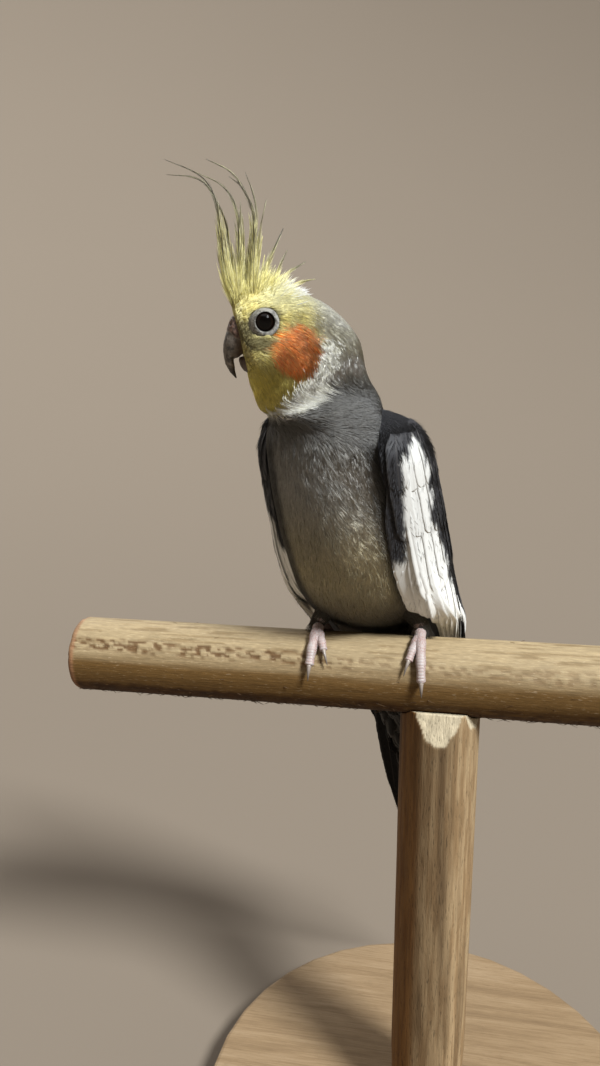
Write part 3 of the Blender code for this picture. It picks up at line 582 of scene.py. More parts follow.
class Pile:
    """Many stamped shapes gathered into one mesh, with colour, place on the feather and unwrap."""

    def __init__(self):
        self.sheets = [[]]
        self.count = 0

    def stamp(self, master, path, across, out, half, thick, colour, root, chance, camber=0.0, twist=0.0):
        """Lay the master along each path; half, thick and camber go by level, colour by shape or corner."""
        n = len(path)
        lev = master.level
        half = np.broadcast_to(half, (n, len(master.spots)))[:, lev]
        thick = np.broadcast_to(thick, (n, len(master.spots)))[:, lev]
        side = half * master.side
        rise = thick * master.height + camber * half * (1 - master.side ** 2) - twist * master.side
        co = path[:, lev] + across[:, lev] * side[..., None] + out[:, lev] * rise[..., None]
        if colour.ndim == 2:
            colour = np.broadcast_to(colour[:, None], co.shape)
        vane = np.stack(np.broadcast_arrays(master.spots[lev][None], master.side[None], chance[:, None]), -1)
        uv = root[:, None] + UNWRAP_PATCH * (vane[..., :2] * (1.0, 0.5) + (0.0, 0.5))
        batch = max(1, PIECE_LIMIT // master.faces)
        for k in range(0, n, batch):
            part = slice(k, min(k + batch, n))
            self._lay(master, co[part], colour[part], vane[part], uv[part])

    def _lay(self, master, co, colour, vane, uv):
        n = len(co)
        if self.count + n * master.faces > PIECE_LIMIT and self.sheets[-1]:
            self.sheets.append([])
            self.count = 0
        self.count += n * master.faces
        size = len(master.level)
        corners = (master.corners[None] + size * np.arange(n)[:, None]).ravel()
        starts = (master.starts[None] + len(master.corners) * np.arange(n)[:, None]).ravel()
        flat = [a.reshape(n * size, -1) for a in (co, colour, vane, uv)]
        self.sheets[-1].append((*flat, corners, starts, np.tile(master.smooth, n)))

    def build(self, name, mat, slot, *nodes):
        """Make one object of each sheet; the first stands for the solids named."""
        made = []
        for k, sheet in enumerate(self.sheets):
            if not sheet:
                continue
            co, colour, vane, uv = (np.concatenate([s[i] for s in sheet]) for i in range(4))
            bases = np.cumsum([0] + [len(s[0]) for s in sheet[:-1]])
            corners = np.concatenate([s[4] + b for s, b in zip(sheet, bases)]).astype(np.int32)
            loops = np.cumsum([0] + [len(s[4]) for s in sheet[:-1]])
            starts = np.concatenate([s[5] + b for s, b in zip(sheet, loops)]).astype(np.int32)
            title = name if len(self.sheets) == 1 else f"{name}_{k + 1}"
            mesh = bpy.data.meshes.new(title)
            mesh.vertices.add(len(co))
            mesh.vertices.foreach_set("co", metres(co).astype(np.float32).ravel())
            mesh.loops.add(len(corners))
            mesh.loops.foreach_set("vertex_index", corners)
            mesh.polygons.add(len(starts))
            mesh.polygons.foreach_set("loop_start", starts)
            mesh.update(calc_edges=True)
            layer = mesh.attributes.new("Plumage", "FLOAT_COLOR", "POINT")
            layer.data.foreach_set("color", np.hstack([colour, np.ones((len(co), 1))]).ravel())
            layer = mesh.attributes.new("Vane", "FLOAT_VECTOR", "POINT")
            layer.data.foreach_set("vector", vane.ravel())
            unwrap = mesh.uv_layers.new(name="OFBake")
            unwrap.data.foreach_set("uv", uv[corners].ravel())
            mesh.polygons.foreach_set("use_smooth", np.concatenate([s[6] for s in sheet]))
            obj = bpy.data.objects.new(title, mesh)
            bpy.context.scene.collection.objects.link(obj)
            made.append(finish(obj, mat, slot, *(nodes if k == 0 else ())))
        return made


def walk(surface, normal, x0, y0, angle, length, spots):
    """Paths laid over a surface from places on it, turned by angle from the lie of the feathers."""
    _, px, py = tangents(surface, x0, y0)
    n = normal(surface, x0, y0)
    lie = unit(px) * surface.lie
    across = np.cross(n, lie)
    d = (np.cos(angle)[:, None] * lie + np.sin(angle)[:, None] * across) * length[:, None]
    e, f, g = (px * px).sum(-1), (px * py).sum(-1), (py * py).sum(-1)
    a, b = (d * px).sum(-1), (d * py).sum(-1)
    det = np.maximum(e * g - f * f, 1e-6)
    x = x0[:, None] + ((a * g - b * f) / det)[:, None] * spots
    y = y0[:, None] + ((b * e - a * f) / det)[:, None] * spots
    return x, y


def lay_path(surface, normal, x, y, rise):
    """Points, sideways and outward directions of paths lifted off a surface."""
    n = normal(surface, x, y)
    p = surface(x, y) + n * rise[..., None]
    t = np.gradient(p, axis=1)
    across = unit(np.cross(n, t))
    return p, across, unit(np.cross(t, across))


BODY.lie = -1.0
for wing in WINGS.values():
    wing.lie = 1.0


def scatter(surface, count, low, high, rng, around=2 * math.pi):
    """Places spread evenly by area over part of a surface."""
    x = rng.uniform(low, high, count * 4)
    y = rng.uniform(0, around, count * 4)
    _, px, py = tangents(surface, x, y)
    area = np.linalg.norm(np.cross(px, py), axis=-1)
    keep = rng.uniform(0, np.percentile(area, 99.5), len(x)) < area
    return x[keep][:count], y[keep][:count]


def rows_over(surface, gap, low, high, rng):
    """Places in staggered rows over part of the trunk, about gap millimetres apart."""
    xs, ys = [], []
    x, k = low, 0
    ring = np.linspace(0, 2 * math.pi, 121)
    while x < high:
        _, px, py = tangents(surface, np.full(121, x), ring)
        step = np.linalg.norm(py, axis=-1)
        arc = np.concatenate([[0], np.cumsum((step[1:] + step[:-1]) / 2 * ring[1])])
        n = max(int(arc[-1] / gap), 3)
        at = ((np.arange(n) + 0.5 * (k % 2)) / n + rng.uniform(-0.25, 0.25, n) / n) % 1.0
        ys.append(np.interp(at * arc[-1], arc, ring))
        xs.append(np.full(n, x) + rng.uniform(-0.3, 0.3, n) * gap / np.linalg.norm(px, axis=-1).mean())
        x += gap / np.linalg.norm(px, axis=-1).mean()
        k += 1
    return np.concatenate(xs), np.concatenate(ys)


# Materials: node trees built from plain names.
def add(tree, kind, inputs=None, **values):
    """A node with its settings and its inputs, each a value or another node's socket."""
    node = tree.nodes.new(kind)
    for key, value in values.items():
        setattr(node, key, value)
    for key, value in (inputs or {}).items():
        if isinstance(value, bpy.types.NodeSocket):
            tree.links.new(value, node.inputs[key])
        else:
            node.inputs[key].default_value = value
    return node


def maths(tree, operation, a, b=0.5):
    """Result of one arithmetic step."""
    return add(tree, "ShaderNodeMath", {0: a, 1: b}, operation=operation).outputs[0]


def mixed(tree, factor, a, b):
    """Two colours mixed."""
    return add(tree, "ShaderNodeMix", {0: factor, 6: a, 7: b}, data_type="RGBA").outputs[2]


def ranged(tree, value, low, high, to_low=0.0, to_high=1.0):
    """A value carried from one range to another."""
    return add(tree, "ShaderNodeMapRange", {0: value, 1: low, 2: high, 3: to_low, 4: to_high}).outputs[0]


def carried(tree, name, kind):
    """A value that the mesh carries at each vertex."""
    return add(tree, "ShaderNodeAttribute", attribute_name=name).outputs[kind]


def toned(tree, colour, value, saturation=1.0):
    """A colour made lighter or darker, fuller or greyer."""
    return add(tree, "ShaderNodeHueSaturation", {"Color": colour, "Value": value,
                                                 "Saturation": saturation}).outputs[0]


def grain(tree, place, scale, detail=4.0, rough=0.55, stretch=None, warp=0.0):
    """Noise value at a place, stretched by a scale on each axis."""
    if stretch:
        place = add(tree, "ShaderNodeMapping", {"Vector": place, "Scale": stretch}).outputs[0]
    return add(tree, "ShaderNodeTexNoise", {"Vector": place, "Scale": scale, "Detail": detail,
                                            "Roughness": rough, "Distortion": warp}).outputs[0]


def shader(name, rough=0.6, **sockets):
    """New material: its tree, Principled shader and the place on the object."""
    mat = bpy.data.materials.new(name)
    mat.use_nodes = True
    tree = mat.node_tree
    bsdf = tree.nodes["Principled BSDF"]
    bsdf.inputs["Roughness"].default_value = rough
    for key, value in sockets.items():
        bsdf.inputs[key.replace("_", " ")].default_value = value
    place = add(tree, "ShaderNodeTexCoord").outputs["Object"]
    return mat, tree, bsdf, place


def bump(tree, bsdf, height, strength, distance):
    """Feed a height to the shader as a fine relief."""
    node = add(tree, "ShaderNodeBump", {"Height": height, "Strength": strength, "Distance": distance})
    tree.links.new(node.outputs[0], bsdf.inputs["Normal"])


def group(name, inputs, outputs):
    """Empty node group with named inputs and outputs."""
    tree = bpy.data.node_groups.new(name, "ShaderNodeTree")
    kinds = {"vector": "NodeSocketVector", "colour": "NodeSocketColor", "value": "NodeSocketFloat"}
    for direction, sockets in (("INPUT", inputs), ("OUTPUT", outputs)):
        for title, kind in sockets:
            tree.interface.new_socket(title, in_out=direction, socket_type=kinds[kind])
    return tree, tree.nodes.new("NodeGroupInput").outputs, tree.nodes.new("NodeGroupOutput").inputs


def use(tree, name, **inputs):
    """A node group placed in a material with its own values."""
    return add(tree, "ShaderNodeGroup", inputs, node_tree=bpy.data.node_groups[name]).outputs


def make_groups():
    """Shared effects: feather barbs and wood grain."""
    tree, given, made = group("Feather Barbs", [("Vane", "vector"), ("Place", "vector"), ("Colour", "colour"),
                              ("Count", "value"), ("Slant", "value"), ("Depth", "value")],
                              [("Colour", "colour"), ("Height", "value"), ("Roughness", "value")])
    parts = add(tree, "ShaderNodeSeparateXYZ", {0: given["Vane"]}).outputs
    away = maths(tree, "ABSOLUTE", parts[1])
    chance = maths(tree, "MULTIPLY", parts[2], 37.0)
    run = maths(tree, "SUBTRACT", parts[0], maths(tree, "MULTIPLY", away, given["Slant"]))
    run = maths(tree, "MULTIPLY", run, given["Count"])
    lane = add(tree, "ShaderNodeCombineXYZ", {0: run, 1: maths(tree, "MULTIPLY", parts[1], 0.8), 2: chance})
    barbs = grain(tree, lane.outputs[0], 1.0, 3.0, 0.6)
    clump = grain(tree, lane.outputs[0], 0.23, 2.0, 0.5)
    mottle = grain(tree, given["Place"], 420.0, 3.0, 0.6)
    shaft = ranged(tree, away, 0.035, 0.09, 1.0, 0.0)
    tone = maths(tree, "ADD", maths(tree, "MULTIPLY", barbs, 0.55), maths(tree, "MULTIPLY", clump, 0.3))
    tone = maths(tree, "ADD", tone, maths(tree, "MULTIPLY", mottle, 0.35))
    light = ranged(tree, tone, 0.38, 0.85)
    edge = ranged(tree, away, 0.72, 1.0, 0.0, 1.0)
    value = maths(tree, "MULTIPLY", maths(tree, "SUBTRACT", light, 0.5), given["Depth"])
    lit = toned(tree, given["Colour"], ranged(tree, value, -0.5, 0.5, 0.7, 1.2), 0.96)
    lit = mixed(tree, maths(tree, "MULTIPLY", shaft, 0.2), lit, mixed(tree, 0.5, lit, (0.16, 0.14, 0.12, 1)))
    lit = mixed(tree, maths(tree, "MULTIPLY", edge, 0.06), lit, (0.5, 0.48, 0.45, 1))
    tree.links.new(lit, made["Colour"])
    height = maths(tree, "ADD", barbs, maths(tree, "MULTIPLY", shaft, 0.8))
    tree.links.new(height, made["Height"])
    tree.links.new(ranged(tree, barbs, 0.3, 0.8, 0.45, 0.72), made["Roughness"])

    tree, given, made = group("Wood Grain", [("Place", "vector"), ("Light", "colour"), ("Middle", "colour"),
                              ("Dark", "colour"), ("Flecks", "value"), ("Saw Marks", "value")],
                              [("Colour", "colour"), ("Height", "value"), ("Roughness", "value")])
    bands = grain(tree, given["Place"], 1.0, 5.0, 0.6, (7.0, 90.0, 90.0), 1.2)
    fibre = grain(tree, given["Place"], 1.0, 5.0, 0.65, (60.0, 1500.0, 1500.0))
    pores = grain(tree, given["Place"], 1.0, 2.0, 0.5, (260.0, 2600.0, 2600.0))
    saw = grain(tree, given["Place"], 1.0, 4.0, 0.7, (900.0, 300.0, 300.0))
    tone = maths(tree, "ADD", maths(tree, "MULTIPLY", bands, 0.7), maths(tree, "MULTIPLY", fibre, 0.45))
    tone = maths(tree, "ADD", tone,
                 maths(tree, "MULTIPLY", maths(tree, "MULTIPLY", saw, given["Saw Marks"]), 0.3))
    colour = mixed(tree, ranged(tree, tone, 0.42, 0.62), given["Light"], given["Middle"])
    colour = mixed(tree, ranged(tree, tone, 0.6, 0.86), colour, given["Dark"])
    fleck = maths(tree, "MULTIPLY", ranged(tree, pores, 0.6, 0.68), given["Flecks"])
    colour = mixed(tree, fleck, colour, given["Dark"])
    tree.links.new(colour, made["Colour"])
    height = maths(tree, "SUBTRACT",
                   maths(tree, "ADD", fibre, maths(tree, "MULTIPLY", saw, given["Saw Marks"])),
                   maths(tree, "MULTIPLY", fleck, 0.5))
    tree.links.new(height, made["Height"])
    tree.links.new(ranged(tree, fibre, 0.3, 0.7, 0.55, 0.8), made["Roughness"])


def feather_material(name, count, slant, depth, rough_bump, sheen, gloss):
    """Feather finish: painted colour broken into barbs, with shaft and soft edges."""
    mat, tree, bsdf, place = shader(name, Sheen_Weight=sheen, Sheen_Roughness=0.5,
                                    Specular_IOR_Level=gloss)
    colour = carried(tree, "Plumage", "Color")
    vane = carried(tree, "Vane", "Vector")
    out = use(tree, "Feather Barbs", Vane=vane, Place=place, Colour=colour, Count=count, Slant=slant,
              Depth=depth)
    tree.links.new(out["Colour"], bsdf.inputs["Base Color"])
    tree.links.new(out["Roughness"], bsdf.inputs["Roughness"])
    bump(tree, bsdf, out["Height"], rough_bump, 0.0004)
    return mat


def coat_material(name, deep=0.72, rough=0.75):
    """Small loose barbs: painted colour, darker at the root where the feather bases are greyer and shade is
    painted, each strand a little different.
    """
    mat, tree, bsdf, place = shader(name, rough, Sheen_Weight=0.12, Sheen_Roughness=0.4,
                                    Specular_IOR_Level=0.25)
    colour = carried(tree, "Plumage", "Color")
    vane = carried(tree, "Vane", "Vector")
    x, _, chance = add(tree, "ShaderNodeSeparateXYZ", {0: vane}).outputs
    fleck = grain(tree, place, 900.0, 2.0, 0.5)
    # Darker towards the root: the greyer feather bases, plus painted shade down among the barbs.
    value = maths(tree, "ADD", ranged(tree, x, 0.0, 0.7, deep, 1.02),
                  ranged(tree, chance, 0.0, 1.0, -0.16, 0.16))
    value = maths(tree, "ADD", value, ranged(tree, fleck, 0.3, 0.7, -0.08, 0.08))
    lit = toned(tree, colour, value, ranged(tree, x, 0.0, 1.0, 1.06, 0.95))
    tree.links.new(lit, bsdf.inputs["Base Color"])
    tree.links.new(ranged(tree, fleck, 0.3, 0.7, rough - 0.1, rough + 0.12), bsdf.inputs["Roughness"])
    return mat


def skin_material(name):
    """Ground under the feathers: the coat's own colours, darkened as painted shade in the gaps between
    feathers, and streaked.
    """
    mat, tree, bsdf, place = shader(name, 0.85, Specular_IOR_Level=0.15)
    colour = carried(tree, "Plumage", "Color")
    streak = grain(tree, place, 1.0, 4.0, 0.6, (1500.0, 1500.0, 420.0))
    # Darkened to between 0.42 and 0.85: painted shade in the gaps between the feathers.
    value = ranged(tree, streak, 0.3, 0.7, 0.42, 0.85)
    lit = toned(tree, colour, value, 1.05)
    tree.links.new(lit, bsdf.inputs["Base Color"])
    tree.links.new(ranged(tree, streak, 0.3, 0.7, 0.7, 0.95), bsdf.inputs["Roughness"])
    bump(tree, bsdf, streak, 0.7, 0.0006)
    return mat


# Pieces of the bird.
def coat_depth(t):
    """How far the skin lies under the plumage, from trunk to bill."""
    return np.interp(t, (0, 8, 10, 13, 16.3, 17), (1.8, 1.7, 1.5, 1.1, 0.7, 0.2))


def build_skin():
    """One skin from rump to bill, under the coat, sunk where the eyes sit, with the coat's own colours,
    painted light and shade included.
    """
    def shape(x, y):
        t, a = x * BODY.knots, y * 2 * math.pi
        p = BODY(t, a)
        s, l, z = in_head(p)
        socket = 3.0 * (1 - ramp(np.hypot(s, z), 3.6, 4.8)) * (abs(l) > 5)
        return p - body_normal(BODY, t, a) * (coat_depth(t) + socket)[:, None]

    skin = wrapped("skin", 220, 120, shape)
    painted(skin, coat_colour)
    finish(skin, skin_material("skin_under_feathers"), "grey_plumage", "torso", "neck", "head")


def clear_of_eye(p):
    """True for paths that leave the eyes and their bare rings free."""
    s, l, z = in_head(p)
    near = (np.hypot(s - 0.25, z) < 4.0) & (abs(l) > 6)
    return ~near.any(axis=1)


def body_root(t, a):
    """Place on the skin's unwrap."""
    return np.stack([a / (2 * math.pi), t / BODY.knots], -1)


def lay_on_body(pile, master, t, a, angle, length, half, rise, thick, chance, camber, colour):
    """Stamp blades along the trunk or head, leaving out those that would cross an eye."""
    x, y = walk(BODY, body_normal, t, a, angle, length, master.spots)
    p, across, out = lay_path(BODY, body_normal, x, y, rise)
    keep = clear_of_eye(p) & (np.linalg.norm(p[:, -1] - p[:, 0], axis=1) < 1.35 * length + 1.0)
    half = np.broadcast_to(half, x.shape)
    pile.stamp(master, p[keep], across[keep], out[keep], half[keep], thick, colour[keep],
               body_root(t, a)[keep], chance[keep], camber)


def along_coat(t, a, angle, length, share=0.6):
    """Place on the trunk or head partway along a small feather, where its colour shows."""
    x, y = walk(BODY, body_normal, t, a, angle, length, np.array([share]))
    return BODY(x[:, 0], y[:, 0])


def coat_angle(p):
    """Slant of the small feathers: brushed outward on the breast's left half, in soft locks elsewhere."""
    s, l, z = in_body(p)
    slant = 0.42 * ramp(l, -4, 9) * ramp(s, 12, 24) * ramp(z, 34, 48) * (1 - ramp(z, 84, 92))
    return slant + 0.5 * (noise(p, 7.0, 41) - 0.5) + 0.6 * (noise(p, 1.4, 42) - 0.5)


# Ground feathers of the trunk: gap, from and to along the body, length, half width.
TRUNK_LEAVES = ((2.2, 0.15, 8.3, 7.0, 2.0), (1.8, 8.3, 11.4, 5.0, 1.5))
TRUNK_STRANDS = 84000
LEAF_SHAPE = np.array([0.5, 0.95, 1.0, 0.72, 0.0])


def build_trunk_coat(rng):
    """Overlapping body feathers under a dense layer of their loose fine barbs."""
    leaf = blade_master((0, 0.3, 0.6, 0.85, 1))
    strand = blade_master((0, 1))
    pile = Pile()
    for gap, low, high, size, wide in TRUNK_LEAVES:
        t, a = rows_over(BODY, gap, low, high, rng)
        n = len(t)
        p = BODY(t, a)
        rise = -coat_depth(t)[:, None] * np.array([0.95, 0.75, 0.55, 0.4, 0.3])
        rise = rise + rng.uniform(-0.05, 0.1, (n, 1)) * np.array([0, 0.3, 0.7, 1, 1])
        angle, length = coat_angle(p) + rng.normal(0, 0.06, n), size * rng.uniform(0.85, 1.15, n)
        tone = coat_colour(along_coat(t, a, angle, length)) * rng.uniform(0.8, 1.0, (n, 1))
        lay_on_body(pile, leaf, t, a, angle, length, wide * LEAF_SHAPE, rise, 0.08, rng.uniform(0, 1, n),
                    0.05, tone)
    t, a = scatter(BODY, TRUNK_STRANDS, 0.12, 11.4, rng)
    n = len(t)
    p = BODY(t, a)
    lock = noise(p, 1.1, 44)
    loose = ramp(t, 5.0, 3.0) * ramp(np.cos(a), 0.3, -0.3)
    length = np.interp(t, (0.1, 3, 5, 8, 9.5, 11.2), (5.5, 5.5, 4.6, 4.4, 3.8, 3.0)) * rng.uniform(0.7, 1.2,
                                                                                                   n)
    length = length * (1 + 0.35 * loose)
    angle = coat_angle(p) + rng.normal(0, 0.11, n)
    high = rng.uniform(0, 1, (n, 1)) * (0.08 + 0.2 * loose[:, None]) + 0.05 * (lock[:, None] - 0.5)
    rise = np.hstack([-0.22 * coat_depth(t)[:, None], high])
    tone = coat_colour(along_coat(t, a, angle, length) + rng.normal(0, 0.4, p.shape))
    tone = tone * np.exp(0.4 * (lock - 0.5) + rng.normal(0, 0.1, n))[:, None]
    half = (0.135 * rng.uniform(0.7, 1.25, n))[:, None] * np.array([1.0, 0.0])
    lay_on_body(pile, strand, t, a, angle, length, half, rise, 0.05, rng.uniform(0, 1, n), 0.0, tone)
    pile.build("trunk_coat", coat_material("loose_barbs_grey"), "grey_plumage")


# Thigh: how far its root lies to the leg's inner side, then y and height; y and height of its foot.
THIGH_TOP = (12.0, 8.5, 34.0)
THIGH_FOOT = (2.4, 16.2)
# Thighs are darkened by this factor: painted shade under the body.
THIGH_SHADE = 0.45
THIGH_STRANDS = 5000


def build_thighs(rng):
    """Feathered thighs that come down to the knuckles of the feet."""
    mat = skin_material("thigh_skin")
    strand = blade_master((0, 1))
    pile = Pile()
    for name, (x0, side, _) in LEGS.items():
        top = np.array([x0 - side * THIGH_TOP[0], *THIGH_TOP[1:]])
        foot = np.array([x0, *THIGH_FOOT])
        down = unit(foot - top)
        across = unit(np.cross(down, np.array([0.0, 1.0, 0.0])))
        front = np.cross(across, down)

        def tube(f, a, more=0.0):
            r = np.interp(f, (0, 0.4, 0.7, 0.9, 1.0, 1.2), (8.2, 6.8, 4.3, 2.8, 2.2, 1.5)) + more
            ring = np.cos(a)[..., None] * across + np.sin(a)[..., None] * front
            return top + (foot - top) * f[..., None] + ring * r[..., None]

        def shape(x, y):
            return tube(x, y * 2 * math.pi, -1.4)

        skin = wrapped("thigh_" + name, 24, 40, shape)
        # Thigh ground in the dark under colour, darkened further as painted shade.
        painted(skin, lambda p: np.tile(tint("under") * THIGH_SHADE, (len(p), 1)))
        finish(skin, mat, "grey_plumage")
        n = THIGH_STRANDS
        f = rng.uniform(0, 1.0, n) ** 0.8
        a = rng.uniform(0, 2 * math.pi, n)
        ends = f + rng.uniform(3.5, 7.5, n) / 22.0
        path = np.stack([tube(f, a, -0.5), tube(ends, a + rng.normal(0, 0.15, n), rng.uniform(0, 0.7, n))], 1)
        t = unit(path[:, 1] - path[:, 0])
        ring = np.cos(a)[:, None] * across + np.sin(a)[:, None] * front
        wide = unit(np.cross(ring, t))
        # Thigh barbs darkened as painted shade under the body.
        tone = blend(tint("under"), tint("belly"), 0.3 * noise(path[:, 0], 2.0, 45)) * THIGH_SHADE
        tone = tone * rng.uniform(0.85, 1.15, (n, 1))
        root = np.tile([0.5, 0.06], (n, 1))
        pile.stamp(strand, path, np.repeat(wide[:, None], 2, 1), np.repeat(np.cross(t, wide)[:, None], 2, 1),
                   (0.14 * np.array([[1.0, 0.0]])), 0.1, tone, root, rng.uniform(0, 1, n))
    pile.build("thigh_coat", coat_material("thigh_barbs"), "grey_plumage")


HEAD_STRANDS = 46000
FRINGE_STRANDS = 6000


def build_head_coat(rng):
    """Fine feathers of the head: coarse on the cheeks, upswept under the crest, long on the collar."""
    leaf = blade_master((0, 0.45, 0.8, 1))
    strand = blade_master((0, 1))
    plume = blade_master((0, 0.5, 1))
    pile = Pile()
    t, a = rows_over(BODY, 1.35, 10.4, 16.85, rng)
    n = len(t)
    rise = -coat_depth(t)[:, None] * np.array([0.9, 0.55, 0.35, 0.25]) + rng.uniform(-0.08, 0.08, (n, 1))
    angle, length = rng.normal(0, 0.12, n), np.full(n, 3.0)
    lay_on_body(pile, leaf, t, a, angle, length, 0.95 * np.array([0.6, 1, 0.8, 0]), rise, 0.06,
                rng.uniform(0, 0.6, n), 0.05, 0.9 * coat_colour(along_coat(t, a, angle, length)))
    t, a = scatter(BODY, HEAD_STRANDS, 10.2, 16.93, rng)
    n = len(t)
    p = BODY(t, a)
    s, l, z = in_head(p)
    angle = 0.8 * (noise(p, 2.4, 43) - 0.5) + 0.5 * (noise(p, 0.9, 47) - 0.5) + rng.normal(0, 0.09, n)
    shown = along_coat(t, a, angle, np.full(n, 3.0))
    _, white, cheek, _, edge = head_marks(shown)
    border = np.exp(-((edge + 1.0) / 3.0) ** 2)
    length = rng.uniform(2.4, 3.5, n) * (1 - 0.5 * ramp(t, 15.2, 16.6)) * (1 + 0.3 * cheek + 0.35 * border)
    length = length * (1 + 1.1 * white * ramp(z, 5, 8))
    foot = ramp(z, 6.5, 9.0) * ramp(s, -8, -3) * (1 - ramp(abs(l), 2.5, 6.0))
    lock = noise(p, 1.3, 46)
    near = ramp(t, 15.4, 16.4)
    stand = (rng.uniform(0, 0.28, n) + 0.3 * cheek + 0.2 * border
             * rng.uniform(0, 1, n)) * (1 - 0.8 * near) + 1.3 * foot
    rise = np.stack([-coat_depth(t) * 0.5, stand], 1)
    colour = coat_colour(shown + rng.normal(0, 1, p.shape) * (0.3 + 1.1 * border + 0.3 * cheek)[:, None])
    deep = blend(tint("orange"), tint("ear_light"), rng.uniform(0, 1, n) ** 1.6)
    colour = blend(colour, deep, cheek * (colour[:, 2] < 0.14)) * np.exp(0.3 * (lock - 0.5)
                                                                         + rng.normal(0, 0.1, n))[:, None]
    wide = (0.092 * (1 + 0.4 * cheek + 0.2 * border)
            * rng.uniform(0.75, 1.25, n))[:, None] * np.array([1.0, 0.0])
    lay_on_body(pile, strand, t, a, angle, length, wide, rise, 0.1, rng.uniform(0, 1, n), 0.0, colour)

    t, a = scatter(BODY, FRINGE_STRANDS * 16, 9.6, 15.0, rng)
    p = BODY(t, a)
    z = in_head(p)[2]
    _, _, cheek, _, edge = head_marks(p)
    weight = np.exp(-((edge - 0.5) / 2.4) ** 2) * (1 - ramp(z, -9, -3)) * (1 - 0.95 * cheek)
    keep = np.flatnonzero(rng.uniform(0, 1, len(t)) < weight)[:FRINGE_STRANDS]
    t, a, p, z = t[keep], a[keep], p[keep], z[keep]
    n = len(t)
    lock = noise(p, 1.6, 48)
    length = np.clip(0.72 * np.interp(z, FACE_EDGE_Z, FRINGE_WIDE), 3.0, 8.0) * rng.uniform(0.7, 1.2, n)
    angle = 0.45 * (noise(p, 2.2, 49) - 0.5) + rng.normal(0, 0.13, n)
    rise = np.stack([-0.4 * coat_depth(t), 0.12 + 0.15 * lock,
                     0.15 + 0.4 * rng.uniform(0, 1, n) + 0.15 * lock], 1)
    root = blend(coat_colour(p), tint("white"), np.full(n, 0.35))
    tip = blend(tint("white"), tint("pale_yellow"), rng.uniform(0, 0.4, n)) * rng.uniform(0.84, 1.06, (n, 1))
    colour = root[:, None] + (tip - root)[:, None] * np.clip(plume.spots[plume.level] * 2.2, 0, 1)[None, :,
                                                                                                   None]
    wide = (0.075 * rng.uniform(0.7, 1.2, n))[:, None] * np.array([1.0, 0.85, 0.0])
    lay_on_body(pile, plume, t, a, angle, length, wide, rise, 0.1, rng.uniform(0, 1, n), 0.0, colour)
    pile.build("head_coat", coat_material("loose_barbs_face", 0.78), "yellow_plumage")


def head_side(s, z):
    """Sideways place of the head's surface at a place on its profile."""
    rows = np.array(HEAD)
    order = rows[:, 0] + rows[:, 2]
    half = np.interp(2 * s, order, rows[:, 4])
    top = np.interp(2 * s, order, rows[:, 1])
    low = np.interp(2 * s, order, rows[:, 3])
    return half * np.sqrt(np.maximum(1 - ((z - (top + low) / 2) / ((top - low) / 2)) ** 2, 0.05))


def cells(a, b, seed, wrap):
    """Distance to the nearest of one random spot per unit square, every other row set half a step on."""
    best = np.full(np.shape(a), 9.0)
    i, j = np.floor(a).astype(np.int64), np.floor(b).astype(np.int64)
    for di, dj in np.ndindex(3, 4):
        ci, cj = i + di - 1, j + dj - 2
        h = (ci * HASH[0] ^ (cj % wrap) * HASH[1] ^ seed * HASH[2]) & HASH_BITS
        h = (h ^ (h >> 13)) * HASH_MIX & HASH_BITS
        x = ci + 0.5 + 0.45 * ((h & 0xFF) / 255 - 0.5)
        y = cj + 0.5 + 0.5 * (ci % 2) + 0.45 * (((h >> 9) & 0xFF) / 255 - 0.5)
        best = np.minimum(best, np.hypot(a - x, b - y))
    return best


LID_OPENING = 2.55


def ring_colour(p):
    """Bare skin round the eye: pale bumps on mottled grey, dark at the rim."""
    s, _, z = in_head(p)
    eyes = bpy.context.scene.cockatiel_head
    mottle = 0.6 * noise(p, 0.7, 25) + 0.4 * noise(p, 0.3, 26)
    colour = blend(np.array(eyes.eye_ring[:3]) * 0.4, np.array(eyes.eye_ring[:3]), ramp(mottle, 0.3, 0.62))
    return blend(colour, np.array([0.03, 0.025, 0.02]),
                 ramp(np.hypot(s, z), LID_OPENING + 0.25, LID_OPENING + 0.05))


